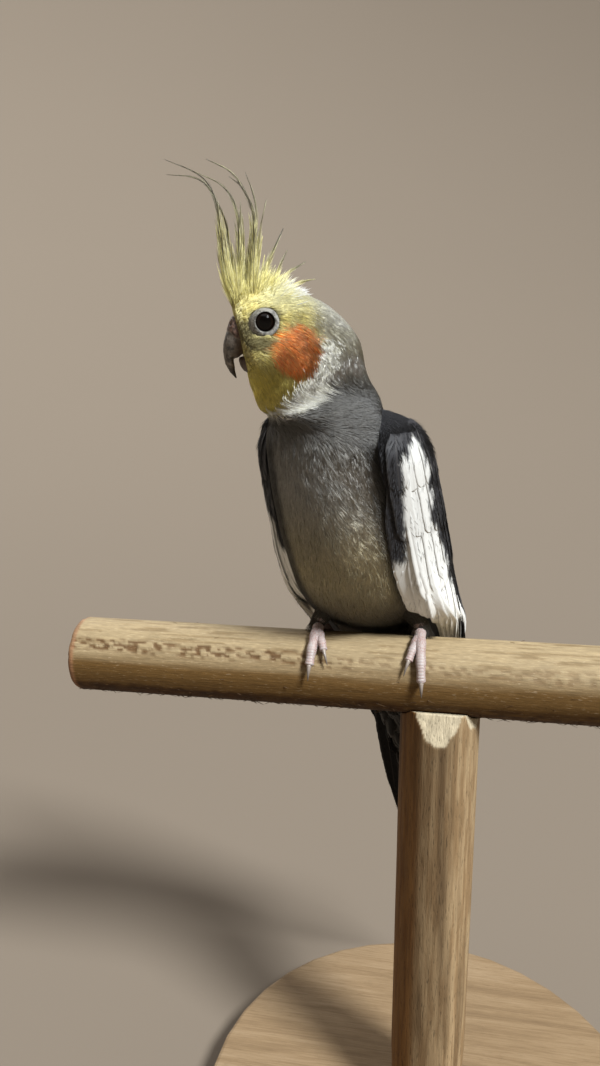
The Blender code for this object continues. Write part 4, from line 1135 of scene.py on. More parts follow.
def build_eyes():
    """Dark glossy eyes, each in a ring of bare pimpled skin."""
    glass, tree, bsdf, _ = shader("dark_eye", 0.08, Specular_IOR_Level=0.22)
    polar = carried(tree, "Vane", "Vector")
    x, _, _ = add(tree, "ShaderNodeSeparateXYZ", {0: polar}).outputs
    iris = tuple(bpy.context.scene.cockatiel_head.iris)
    ring = maths(tree, "MULTIPLY", ranged(tree, x, 0.12, 0.15), ranged(tree, x, 0.25, 0.22))
    tree.links.new(mixed(tree, ring, (0.0015, 0.001, 0.001, 1), iris), bsdf.inputs["Base Color"])
    lid_mat, tree, bsdf, place = shader("eye_ring_skin", 0.55, Subsurface_Weight=0.1,
                                        Subsurface_Radius=(0.001, 0.0006, 0.0005))
    skin = carried(tree, "Plumage", "Color")
    fold = grain(tree, place, 2600.0, 4.0, 0.6)
    tree.links.new(mixed(tree, ranged(tree, fold, 0.5, 0.75, 0.0, 0.5), skin, (0.05, 0.045, 0.04, 1)),
                   bsdf.inputs["Base Color"])
    bump(tree, bsdf, fold, 0.5, 0.0002)
    for side, name in ((1, "left"), (-1, "right")):
        def ball(x, y):
            polar, turn = x * math.pi, y * 2 * math.pi
            r = EYE_RADIUS + 0.22 * np.exp(-(polar / 0.5) ** 2) - 0.22
            return head_point(r * np.sin(polar) * np.cos(turn), side * (EYE_OUT + r * np.cos(polar)),
                              r * np.sin(polar) * np.sin(turn))

        def lid(x, y):
            turn = y * 2 * math.pi
            top = x <= 0.5
            f = np.where(top, 2 * x, 2 - 2 * x)
            outer = 3.85 + 0.85 * np.exp(-((np.angle(np.exp(1j * (turn + 0.25)))) / 0.8) ** 2)
            r = LID_OPENING + (outer - LID_OPENING) * f
            s, z = r * np.cos(turn), r * np.sin(turn)
            ball_out = EYE_OUT + math.sqrt(EYE_RADIUS ** 2 - LID_OPENING ** 2) + 0.02
            skin_out = head_side(s, z) - 0.5
            bead = np.clip(1.25 - 2.3 * cells(f * 3.4, y * 46, 3, 46), 0, 1) ** 0.6
            h = ball_out + (skin_out - ball_out) * f ** 0.8 + 0.42 * np.sin(math.pi * np.sqrt(f))
            h = h + 0.16 * bead * np.sqrt(np.clip(np.sin(math.pi * f), 0, 1))
            h = np.where(top, h, h - 0.8 * np.sin(math.pi * f) - 0.02)
            return head_point(s, side * h, z)

        eye = wrapped("eye_" + name, 48, 64, ball, ends=False)
        finish(eye, glass, "eye", "eye_" + name)
        ring = wrapped("eye_ring_" + name, 36, 230, lid, ends=False)
        painted(ring, ring_colour)
        finish(ring, lid_mat, "grey_plumage")


# Sections of the bill from face to tip: ridge s and z, edge s and z, half width.
BILL_UPPER = ((7.0, 2.4, 5.0, -7.6, 4.6), (8.75, 1.5, 6.2, -8.6, 4.8), (9.7, -0.6, 6.9, -9.2, 4.5),
              (10.7, -3.4, 7.6, -9.5, 4.0), (11.25, -6.2, 8.3, -9.6, 3.3), (11.2, -9.0, 8.45, -10.2, 2.5),
              (10.5, -11.6, 8.2, -11.8, 1.7), (9.2, -13.7, 7.95, -13.3, 1.0), (7.8, -15.2, 7.6, -14.9, 0.35))
BILL_LOWER = ((3.2, -8.8, 2.4, -13.8, 3.9), (4.6, -8.9, 4.0, -13.7, 3.7), (5.8, -9.0, 5.4, -13.0, 3.0),
              (6.6, -9.2, 6.4, -11.7, 2.0), (6.9, -9.5, 6.9, -10.4, 0.9))
NOSTRIL = (9.0, 2.6, -0.3)
CERE_EDGE = ((5.6, 7.9, 9.5, 12.0), (-4.7, -3.9, -2.25, -1.0))
BILL_EDGE = ((6.4, 8.3, 10.25), (-10.6, -11.7, -10.9))


def bill_shape(rows, upper):
    """Place on a bill half, with its ridge, edges, flakes and, on the upper one, cere and nostrils."""
    table = dense([np.concatenate([head_point(r[0], 0, r[1]), head_point(r[2], 0, r[3]), HEAD_L * r[4]])
                   for r in rows])

    def shape(x, y):
        a = y * 2 * math.pi
        r = read(table, x, 1.0)
        d, v, w = r[:, :3], r[:, 3:6], r[:, 6:9]
        up, cross = np.cos(a), np.sin(a)
        cross = np.sign(cross) * np.abs(cross) ** 0.9
        p = (d + v) / 2 + up[:, None] * (d - v) / 2 + cross[:, None] * w
        n = unit(up[:, None] * unit(d - v) + cross[:, None] * unit(w))
        bulge = 0.0
        if upper:
            s, l, z = in_head(p)
            above = z - np.interp(s, *CERE_EDGE)
            bulge = 0.3 * ramp(above, -0.1, 0.5) + 0.25 * ramp(above, 0.3, 0.8) * (noise(p, 0.55, 27) - 0.5)
            for side in (1, -1):
                gap = np.sqrt((s - NOSTRIL[0]) ** 2 + (z - NOSTRIL[2]) ** 2 + 0.6
                              * (l - side * NOSTRIL[1]) ** 2)
                bulge = bulge + 0.22 * np.exp(-((gap - 1.0) / 0.3) ** 2) - 0.9 * np.exp(-(gap / 0.55) ** 2)
        flake = ramp(noise(p * np.array([1, 1, 0.6]), 1.3, 21), 0.5, 0.6) * 0.1 * ramp(x, 0.25, 0.35)
        bulge = bulge + flake + 0.06 * (noise(p, 0.5, 22) - 0.5)
        return p + n * np.asarray(bulge)[..., None]

    return shape


def bill_colour(p):
    """Horn by place: warm pitted cere, pale line under it, grey horn, pale cutting edge and dark tip."""
    s, _, z = in_head(p)
    head = bpy.context.scene.cockatiel_head
    dark, light, warm = (np.array(getattr(head, k)[:3]) for k in ("bill_dark", "bill_light", "cere"))
    flake = 0.55 * noise(p, 1.0, 23) + 0.45 * noise(p, 0.35, 24)
    horn = blend(dark, light, ramp(flake, 0.32, 0.66))
    horn = blend(horn, 0.6 * (dark + warm), 0.7 * ramp(s, 8.8, 6.4))
    horn = blend(horn, dark * 0.5, ramp(z, -11.8, -14.0) * 0.85)
    rim = np.abs(z - np.interp(s, *BILL_EDGE)) + 0.25 * (noise(p, 0.6, 28) - 0.5)
    horn = blend(horn, light * 2.2, ramp(rim, 0.42, 0.14) * ramp(s, 6.2, 6.8) * ramp(s, 10.6, 9.9) * 0.7)
    above = z - np.interp(s, *CERE_EDGE) + 0.25 * (noise(p, 0.8, 29) - 0.5)
    cere = blend(warm * 0.35, warm * 1.25, ramp(noise(p, 0.42, 30), 0.3, 0.7))
    horn = blend(horn, cere, ramp(above, -0.1, 0.15))
    return blend(horn, light * 1.9, ramp(np.abs(above + 0.1), 0.3, 0.1) * 0.6)


def build_bill():
    """Hooked upper bill with its cere and nostrils over the cupped lower one."""
    mat, tree, bsdf, place = shader("bill_horn", 0.45)
    paint = carried(tree, "Plumage", "Color")
    scale = grain(tree, place, 1.0, 5.0, 0.65, (700.0, 700.0, 1200.0))
    flake = grain(tree, place, 1100.0, 4.0, 0.7, warp=0.8)
    lit = toned(tree, paint, ranged(tree, scale, 0.3, 0.7, 0.7, 1.3))
    pale = ranged(tree, flake, 0.62, 0.7, 0.0, 0.5)
    tree.links.new(mixed(tree, pale, lit, (0.34, 0.29, 0.24, 1)), bsdf.inputs["Base Color"])
    tree.links.new(ranged(tree, flake, 0.3, 0.7, 0.4, 0.65), bsdf.inputs["Roughness"])
    bump(tree, bsdf, maths(tree, "ADD", scale, flake), 0.4, 0.0003)
    for name, rows, fine in (("upper", BILL_UPPER, (180, 110)), ("lower", BILL_LOWER, (70, 90))):
        half = wrapped(f"bill_{name}_horn", *fine, bill_shape(rows, name == "upper"))
        painted(half, bill_colour)
        finish(half, mat, "bill_horn", "bill_" + name)


# Crest feathers from the forehead back: sideways place, half width, how dark its free end is, then the
# places (s, z) that its shaft passes.
CREST = (
    (0.0, 1.1, 1.0, (8.4, 5), (11.2, 15), (11.9, 25), (12.6, 32.5), (16.2, 38.7), (26.5, 43)),
    (1.2, 1.1, 0.9, (7.8, 5), (10.4, 15), (11.4, 24), (13, 33.4), (17.5, 38), (26, 38.7)),
    (-1.0, 1.3, 1.0, (7.2, 6), (8.2, 14.5), (9.2, 21.5), (10, 27.5), (12.5, 33), (16, 38.4)),
    (0.8, 1.3, 0.9, (6.2, 6.5), (6.8, 14.5), (6.6, 24), (7.4, 31.2), (11, 36.5), (19.4, 40.1)),
    (-1.8, 1.4, 0.7, (5.5, 6.5), (5.9, 13), (5.9, 20), (5.8, 26.5), (5.7, 33.5)),
    (0.4, 1.3, 0.5, (4.7, 6.5), (3.4, 17.3), (2.1, 28.9), (4.3, 34.3), (8, 40), (15.4, 43.4)),
    (1.6, 1.4, 0.7, (4.0, 6.5), (2.8, 18.4), (2.4, 27.9), (3.3, 31.8), (5.5, 36), (9.2, 38.6)),
    (-1.4, 1.4, 0.4, (4.1, 6.5), (2.5, 18.4), (1.4, 29.4), (1.7, 33.1), (3, 37.5), (4.5, 41)),
    (1.0, 1.5, 0.9, (3, 6.5), (2.2, 13), (1.2, 20), (0.2, 27), (-1.2, 33)),
    (-0.8, 1.6, 1.0, (1.8, 6), (0, 11.5), (-1.6, 16.5), (-4.5, 22.7), (-6.2, 26.2)),
    (0.9, 1.6, 0.9, (0.2, 5.5), (-2.4, 10.5), (-4.7, 15.3), (-7, 20)),
    (-0.4, 1.5, 1.0, (-1.5, 6), (-4.6, 10.7), (-7.6, 14.2), (-12.4, 17.2)),
    (0.3, 1.2, 0.8, (-5.4, 7.5), (-8.8, 10.4), (-12, 11.8), (-15, 12.3)),
)
# Shorter feathers between them, places along a shaft, wisps, and barbs of a main and a shorter feather.
CREST_FILL = 100
CREST_STEPS = 60
CREST_WISPS = 1500
CREST_BARBS = 150
FILL_BARBS = 46


def crown_height(s):
    """Height of the crown's middle line at a place along the head."""
    rows = np.array(HEAD)
    return np.interp(s, rows[:, 0], rows[:, 1])


def free_barbs(pile, master, root, along, aside, angle, length, half, curl, colour, uv, chance):
    """Barbs that stand free: each leaves its root at an angle from a line and bends back to it."""
    f = master.spots[None, :, None]
    start = np.cos(angle)[:, None] * along + np.sin(angle)[:, None] * aside
    p = root[:, None] + length[:, None,
                               None] * (start[:, None] * f + (along * curl[:, None])[:, None] * f * f)
    t = unit(np.gradient(p, axis=1))
    face = unit(np.cross(along, aside))[:, None] * np.ones_like(f)
    across = unit(np.cross(face, t))
    pile.stamp(master, p, across, np.cross(t, across),
               half[:, None] * np.linspace(1.0, 0.8, len(master.spots)),
               half.mean() * 0.8, colour, uv, chance)


def crest_line(points):
    """Evenly spaced places along a crest shaft from foot to tip."""
    line = dense(points)
    run = np.concatenate([[0], np.cumsum(np.hypot(*np.diff(line, axis=0).T))])
    even = np.linspace(0, run[-1], CREST_STEPS)
    return np.stack([np.interp(even, run, line[:, k]) for k in (0, 1)], 1)


def crest_feather(pile, leaf, strand, line, out, half, dark, barbs, rng):
    """One crest feather: a thin curved shaft, with long soft barbs combed along its lower part."""
    last = CREST_STEPS - 1
    run = np.linspace(0, 1, CREST_STEPS)
    shaft = head_point(line[:, 0], out * (1 + 0.6 * run) + rng.normal(0, 0.5) * run ** 2, line[:, 1])
    t = unit(np.gradient(shaft, axis=0))
    aside = unit(np.cross(HEAD_L + rng.normal(0, 0.2, 3), t))
    face = np.cross(t, aside)
    height = line[:, 1]
    vane = blend(tint("crest_yellow"), tint("crest_olive"), ramp(height, 10, 24) * rng.uniform(0.25, 0.95))
    end = blend(tint("crest_tip"), tint("crest_shaft"), 0.8 * dark)
    above = ramp(height, 9, 13)
    vane = blend(vane, end, np.maximum(ramp(height, 24, 33), dark * ramp(run, 0.5, 0.85) * above))
    deep = np.maximum(ramp(height, 12, 19), ramp(run, 0.35, 0.7) * above)
    line_tone = blend(tint("crest_yellow") * 0.8, blend(end, tint("crest_shaft"), dark), deep)
    uv = np.array([0.5, 0.95]) + rng.uniform(-0.02, 0.02, 2)
    at = np.linspace(0, last, len(leaf.spots)).astype(int)
    width = (0.13 * (1.2 - run[at]))[None]
    pile.stamp(leaf, shaft[at][None], aside[at][None], face[at][None], width, 1.3 * width,
               line_tone[at][leaf.level][None], uv[None], np.array([rng.uniform(0, 0.5)]))
    n = barbs
    start = 0.85 * rng.uniform(0, 1, n) ** 1.35
    size = rng.uniform(4.5, 10.5, n) / np.linalg.norm(np.diff(shaft, axis=0), axis=1).sum()
    stop = np.minimum(start + size, 1.0)
    k = (start[:, None] + (stop - start)[:, None] * strand.spots) * last
    i = np.minimum(k.astype(int), last - 1)
    g = (k - i)[..., None]
    centre, beside, over, tone = (m[i] * (1 - g) + m[i + 1] * g for m in (shaft, aside, face, vane))
    reach = np.interp(stop, (0, 0.3, 0.55, 0.75, 1), (0.7, 1.0, 0.8, 0.35, 0.08)) * rng.uniform(0.1, 1.15, n)
    way = np.where(rng.uniform(0, 1, n) < 0.5, -1.0, 1.0)
    part = strand.spots ** 0.9
    p = centre + beside * (way * half * reach)[:, None, None] * part[None, :, None]
    p = p + over * (rng.normal(0, 0.45, n) * half * reach)[:, None, None] * part[None, :, None]
    ahead = unit(np.gradient(p, axis=1))
    across = unit(np.cross(over, ahead))
    streaks = (rng.uniform(0, 1, n) < 0.34 * dark)[:, None] * ramp(height[i], 12, 19)
    tone = blend(tone, tint("crest_shaft"), 0.85 * streaks)
    tone = tone * np.exp(rng.normal(0, 0.14, (n, 1, 1)))
    tone = blend(tone, tint("pale_yellow"), ((rng.uniform(0, 1, n) ** 3) * 0.7)[:, None] * (1 - streaks))
    slim = rng.uniform(0.04, 0.068, n)[:, None] * np.interp(strand.spots, (0, 0.3, 0.8, 1),
                                                            (0.9, 1.0, 0.7, 0.0))
    pile.stamp(strand, p, across, np.cross(ahead, across), slim, 0.06, tone[:, strand.level],
               np.tile(uv, (n, 1)),
               rng.uniform(0, 1, n))


def build_crest(rng):
    """Tall yellow crest: main feathers as the photo has them, shorter ones and wisps between."""
    leaf = blade_master(tuple(np.linspace(0, 1, 13)))
    strand = blade_master((0, 0.3, 0.65, 1))
    wisp = blade_master((0, 0.35, 0.7, 1))
    pile = Pile()
    lines = np.array([crest_line(row[3:]) for row in CREST])
    for row, line in zip(CREST, lines):
        crest_feather(pile, leaf, strand, line, *row[:3], CREST_BARBS, rng)
    for k in range(CREST_FILL):
        pick = rng.uniform(0, len(CREST) - 1.001)
        i = int(pick)
        line = lines[i] * (1 - pick + i) + lines[i + 1] * (pick - i)
        line = line + rng.normal(-0.4, 0.4, 2) + rng.normal(-0.3, 1.0, 2) * np.linspace(0, 1,
                                                                                        CREST_STEPS)[:, None]
        even = np.linspace(0, rng.uniform(0.25, 0.62), CREST_STEPS)
        short = np.stack([np.interp(even, np.linspace(0, 1, CREST_STEPS), line[:, j]) for j in (0, 1)], 1)
        crest_feather(pile, leaf, strand, short, rng.normal(0, 1.6), rng.uniform(1.1, 1.9),
                      rng.uniform(0, 0.8), FILL_BARBS, rng)
    n = CREST_WISPS
    s = rng.uniform(-9.5, 8.0, n)
    side = rng.normal(0, 2.6, n)
    root = head_point(s, side, crown_height(s) - 0.9 - 0.035 * side ** 2)
    up = rng.uniform(0.4, 1.0, n) * (0.25 + 0.75 * ramp(s, -6, -1)) + 1.4 * ramp(s, -6, 2)
    lean = unit(UP * up[:, None] - HEAD_F * rng.uniform(0.7, 1.3, n)[:, None] + HEAD_F
                * (0.9 * ramp(s, 0, 6))[:, None])
    aside = unit(np.cross(np.cross(lean, UP + 0.01), lean))
    back = blend(tint("white"), tint("pale_yellow"), rng.uniform(0, 0.7, n) * ramp(s, -8, -4))
    colour = blend(back, tint("crest_yellow"), ramp(s, -5, -1))
    length = rng.uniform(3.0, 7.0, n) * (1 - 0.3 * ramp(s, 2, 7)) * (1 - 0.35 * ramp(s, -3, -7))
    free_barbs(pile, wisp, root, lean, aside, rng.normal(0, 0.2, n), length, rng.uniform(0.05, 0.08, n),
               rng.uniform(-0.1, 0.25, n), colour, np.tile([0.5, 0.9], (n, 1)), rng.uniform(0, 1, n))
    pile.build("crest", coat_material("crest_barbs", 0.85), "yellow_plumage")


# Wing tiers: count, roots and then tips of the first and last feather in wing coordinates, half width,
# rise and darkness.
WING_TIERS = {
    "primaries": (8, (0.48, 0.02), (0.50, 0.62), (0.83, 0.02), (0.995, 0.60), 4.0, (-1.0, -0.75), 1.0),
    "secondaries": (13, (0.38, -0.02), (0.34, 0.76), (0.70, -0.08), (0.75, 0.66), 4.0, (-0.75, -0.4), 0.8),
    "tertials": (4, (0.34, 0.76), (0.28, 0.97), (0.76, 0.78), (0.60, 0.99), 4.6, (-0.6, -0.15), 0.6),
    "greater_coverts": (12, (0.24, -0.01), (0.22, 0.95), (0.595, -0.05), (0.42, 0.93), 4.2, (-0.5, -0.15),
                        0.6),
    "median_coverts": (12, (0.13, 0.03), (0.10, 0.94), (0.40, 0.0), (0.29, 0.93), 3.5, (-0.3, 0.0), 0.45),
    "small_coverts": (12, (0.04, 0.04), (0.02, 0.95), (0.25, 0.01), (0.18, 0.93), 3.2, (-0.1, 0.15), 0.4),
}
WING_TWIST = 0.04
WEB_DEPTH = 1.25
WEB_THICK = 1.0
VANE_BARBS = 2.4
# Blue value from which a barb counts as white, and the share of white barbs kept.
PALE_FROM = 0.25
PALE_BARBS = 0.05
# Fine barbs on each wing: velvet of the coverts, scapulars and the tuft at the shoulder.
VELVET_BARBS = 40000
SCAPULAR_BARBS = 8000
TUFT_BARBS = 420


def wing_scale(wing, u, v):
    """Share of the wing's width that one millimetre across it takes."""
    _, _, pv = tangents(wing, u, v)
    return 1.0 / np.maximum(np.linalg.norm(pv, axis=-1), 1.0)


def wing_feather(pile, master, strand, side, root, tip, half, rise, dark, rng):
    """One wing feather lying from root to tip over the wing, with its vane and the fine barbs on it."""
    wing = WINGS[side]
    f = master.spots
    u = root[0] + (tip[0] - root[0]) * f
    v = root[1] + (tip[1] - root[1]) * f + rng.uniform(-0.006, 0.006) * np.sin(math.pi * f)
    lift = rise[0] + (rise[1] - rise[0]) * f ** 0.8 + rng.uniform(-0.04, 0.04) - 0.15 * ramp(f, 0.8, 1.0)
    p, across, out = lay_path(wing, wing_normal, u[None], v[None], lift[None])
    long = np.linalg.norm(np.diff(p[0], axis=0), axis=1).sum()
    bend = 1.15 * half / long
    blunt = np.clip(1 - (np.maximum(f - 1 + bend, 0) / bend) ** 2.4, 0.0, 1) ** 0.5
    width = half * (0.5 + 0.5 * ramp(f, 0, 0.35)) * np.maximum(blunt, 0.02)
    width = width * (1 + 0.02 * rng.normal(0, 1, len(f)) * ramp(f, 0.3, 0.6))
    scale = side * wing_scale(wing, u, v)
    lev = master.level
    place = p[0, lev] + across[0, lev] * (width[lev] * master.side)[:, None]
    colour = wing_colour(place, u[lev], v[lev] + master.side * width[lev] * scale[lev], dark, side)
    tone = rng.uniform(1.14, 1.22)
    uv = np.array([[0.5 + 0.4 * side + root[1] * 0.1, 0.1 + root[0] * 0.1]])
    chance = np.array([rng.uniform(0, 1)])
    twist = WING_TWIST * side
    pile.stamp(master, p, across, out, width[None], 0.06, colour[None] * tone, uv, chance, 0.03, twist)
    n = int(long * half * VANE_BARBS)
    at = 1 - 0.9 * rng.uniform(0, 1, n) ** 1.25
    q = rng.uniform(-0.96, 0.96, n)
    i = np.minimum((at * (len(f) - 1)).astype(int), len(f) - 2)
    g = at * (len(f) - 1) - i
    centre = p[0, i] * (1 - g)[:, None] + p[0, i + 1] * g[:, None]
    w = width[i] * (1 - g) + width[i + 1] * g
    ahead = unit(np.gradient(p[0], axis=0))[i]
    beside, over = across[0, i], out[0, i]
    lean = np.sign(q) * (0.34 + rng.normal(0, 0.06, n))
    reach = np.minimum(rng.uniform(2.0, 3.8, n), ((1 - np.abs(q)) * w + 0.55) / np.sin(np.abs(lean)))
    start = centre + beside * (q * w)[:, None] + over * (0.04 * w * (1 - q * q) - twist * q + 0.03)[:, None]
    end = q + reach * np.sin(lean) / np.maximum(w, 0.5)
    drop = np.clip(0.04 * w * (1 - end ** 2) - twist * end, -0.3, 0.4)
    run = ahead * np.cos(lean)[:, None] + beside * np.sin(lean)[:, None]
    finish_at = centre + beside * (q * w)[:, None] + run * reach[:, None]
    finish_at = finish_at + over * (drop + rng.uniform(0.01, 0.08, n))[:, None]
    path = np.stack([start, finish_at], 1)
    way = unit(finish_at - start)
    wide = unit(np.cross(over, way))
    place = start + rng.normal(0, 0.35, start.shape)
    tone = wing_colour(place, u[i] * (1 - g) + u[i + 1] * g, v[i] + q * w * scale[i], dark, side)
    tone = tone * rng.uniform(0.9, 1.1, (n, 1))
    keep = (tone[:, 2] < PALE_FROM) | (rng.uniform(0, 1, n) < PALE_BARBS)
    slim = (0.1 * rng.uniform(0.7, 1.15, n))[keep, None] * np.array([1.0, 0.0])
    path, wide, way, tone = path[keep], wide[keep], way[keep], tone[keep]
    pile.stamp(strand, path, np.repeat(wide[:, None], 2, 1), np.repeat(np.cross(way, wide)[:, None], 2, 1),
               slim, 0.04, tone, np.tile(uv, (len(tone), 1)), rng.uniform(0, 1, len(tone)))


def build_wings(rng):
    """Folded wings: a thin web under tiers of flight feathers and coverts."""
    vane = vane_master(28, 10)
    strand = blade_master((0, 1))
    mat = feather_material("wing_vanes", 46.0, 0.22, 0.25, 0.1, 0.03, 0.2)
    web_mat = skin_material("wing_web")
    for side, name in ((1, "left"), (-1, "right")):
        wing = WINGS[side]

        def web(x, y):
            v = np.where(y < 0.5, 2 * y, 2 - 2 * y) * 1.04 - 0.04
            u = x * 0.84 - 0.04 * (1 - ramp(v, 0.3, 0.6))
            edge = np.minimum(np.minimum(v + 0.04, 1 - v) * 1.2,
                              np.minimum((u + 0.04) * 1.8, (0.8 - u) * 1.8))
            thick = WEB_THICK * np.clip(edge / 0.2, 0.02, 1)
            depth = np.where(y < 0.5, WEB_DEPTH, WEB_DEPTH + thick)
            return wing(u, v) - wing_normal(wing, u, v) * depth[:, None]

        shell = wrapped("wing_web_" + name, 60, 60, web)
        painted(shell, lambda p: np.tile(tint("wing_grey") * 1.8, (len(p), 1)))
        finish(shell, web_mat, "wing_plumage", "wing_" + name)
        pile = Pile()
        for title, (count, r0, r1, t0, t1, half, rise, dark) in WING_TIERS.items():
            for k in range(count):
                f = k / (count - 1)
                root = (r0[0] + (r1[0] - r0[0]) * f, r0[1] + (r1[1] - r0[1]) * f)
                tip = [t0[0] + (t1[0] - t0[0]) * f + rng.normal(0, 0.004), t0[1] + (t1[1] - t0[1]) * f]
                if title == "greater_coverts" and k > 0:
                    tip[0] = np.interp(tip[1], (-0.1, 0.1, 0.3, 0.95), (0.60, 0.575, 0.48, 0.42))
                wing_feather(pile, vane, strand, side, root, tip, half * rng.uniform(0.95, 1.05), rise, dark,
                             rng)
        small_coverts(pile, strand, side, rng)
        scapulars(pile, strand, side, rng)
        pile.build("wing_feathers_" + name, mat, "wing_plumage")


def lay_on_wing(pile, master, side, u, v, angle, length, half, rise, thick, camber, dark, rng):
    """Stamp small blades along a wing, coloured by their place on it."""
    wing = WINGS[side]
    n = len(u)
    x, y = walk(wing, wing_normal, u, v, angle, length, master.spots)
    p, across, out = lay_path(wing, wing_normal, x, y, rise)
    lev = master.level
    tone = wing_colour(p[:, lev] + rng.normal(0, 0.25, (n, 1, 3)), x[:, lev], y[:, lev], dark, side)
    tone = tone * rng.uniform(0.88, 1.12, (n, 1, 1))
    uv = np.stack([0.5 + 0.4 * side + v * 0.1, 0.1 + u * 0.1], -1)
    pile.stamp(master, p, across, out, half, thick, tone, uv, rng.uniform(0, 1, n), camber)


def small_coverts(pile, strand, side, rng):
    """Fine soft barbs that lie like velvet over the coverts, wrist and front edge of the wing."""
    n = VELVET_BARBS
    u = rng.uniform(-0.05, 0.6, n)
    v = rng.uniform(-0.04, 1.0, n)
    share = (1 - 0.75 * ramp(u, 0.2, 0.55)) * (1 - 0.97 * inside(u + 0.01, v, WHITE_BAND))
    share = share * (u > -0.05 + 0.07 * ramp(v, 0.3, 0.6))
    keep = rng.uniform(0, 1, n) < share
    u, v = u[keep], v[keep]
    n = len(u)
    rise = np.hstack([np.full((n, 1), -0.15), rng.uniform(0.02, 0.16, (n, 1))])
    lay_on_wing(pile, strand, side, u, v, rng.normal(0, 0.13, n) + 0.5 * (rng.uniform(0, 1, n) < 0.03),
                rng.uniform(2.0, 3.8, n), 0.12 * np.array([[1.0, 0.0]]), rise, 0.05, 0.0, 0.0, rng)


def scapulars(pile, strand, side, rng):
    """Loose barbs of shoulder and back that lie over the wing's inner top edge."""
    n = SCAPULAR_BARBS
    u = rng.uniform(0.02, 0.42, n)
    v = rng.uniform(0.66, 1.1, n)
    keep = rng.uniform(0, 1, n) < ramp(v, 0.6, 0.9) * ramp(u, 0.42, 0.2)
    u, v = u[keep], v[keep]
    n = len(u)
    rise = np.hstack([np.full((n, 1), -0.2), rng.uniform(0.1, 0.5, (n, 1))])
    lay_on_wing(pile, strand, side, u, v, rng.normal(0, 0.14, n), rng.uniform(3.5, 7.0, n),
                0.15 * np.array([[1.0, 0.0]]), rise, 0.08, 0.0, 0.2, rng)
    n = TUFT_BARBS
    u, v = rng.uniform(0.0, 0.1, n), rng.uniform(0.3, 0.52, n)
    rise = np.hstack([np.full((n, 1), 0.0), rng.uniform(0.4, 1.5, (n, 1))])
    lay_on_wing(pile, strand, side, u, v, rng.normal(0, 0.35, n), rng.uniform(4.0, 6.5, n),
                0.12 * np.array([[1.0, 0.0]]), rise, 0.1, 0.0, 1.0, rng)


# Tail pairs: reach, sideways at root and tip, half width.
TAIL_PAIRS = ((1.00, 1.0, 1.5, 5.0), (0.83, 3.2, 4.4, 5.2), (0.72, 4.6, 6.2, 5.2), (0.63, 5.8, 7.6, 5.0),
              (0.55, 6.8, 8.8, 4.7), (0.47, 7.6, 9.8, 4.3))
TAIL_STEP = 0.5
TAIL_LIFT = 0.4
# Fine barbs to one millimetre of tail feather.
TAIL_BARBS = 7
TAIL_COVERT_LEAVES = 700
TAIL_COVERT_STRANDS = 12000
# Sleeve of the tail coverts: place along the tail, half width and half depth.
TAIL_SLEEVE = ((-0.16, -0.09, 0.0, 0.06, 0.13, 0.22), (14.5, 13.0, 11.4, 9.6, 8.4, 7.0),
               (11.5, 9.0, 6.4, 4.4, 3.0, 1.8))


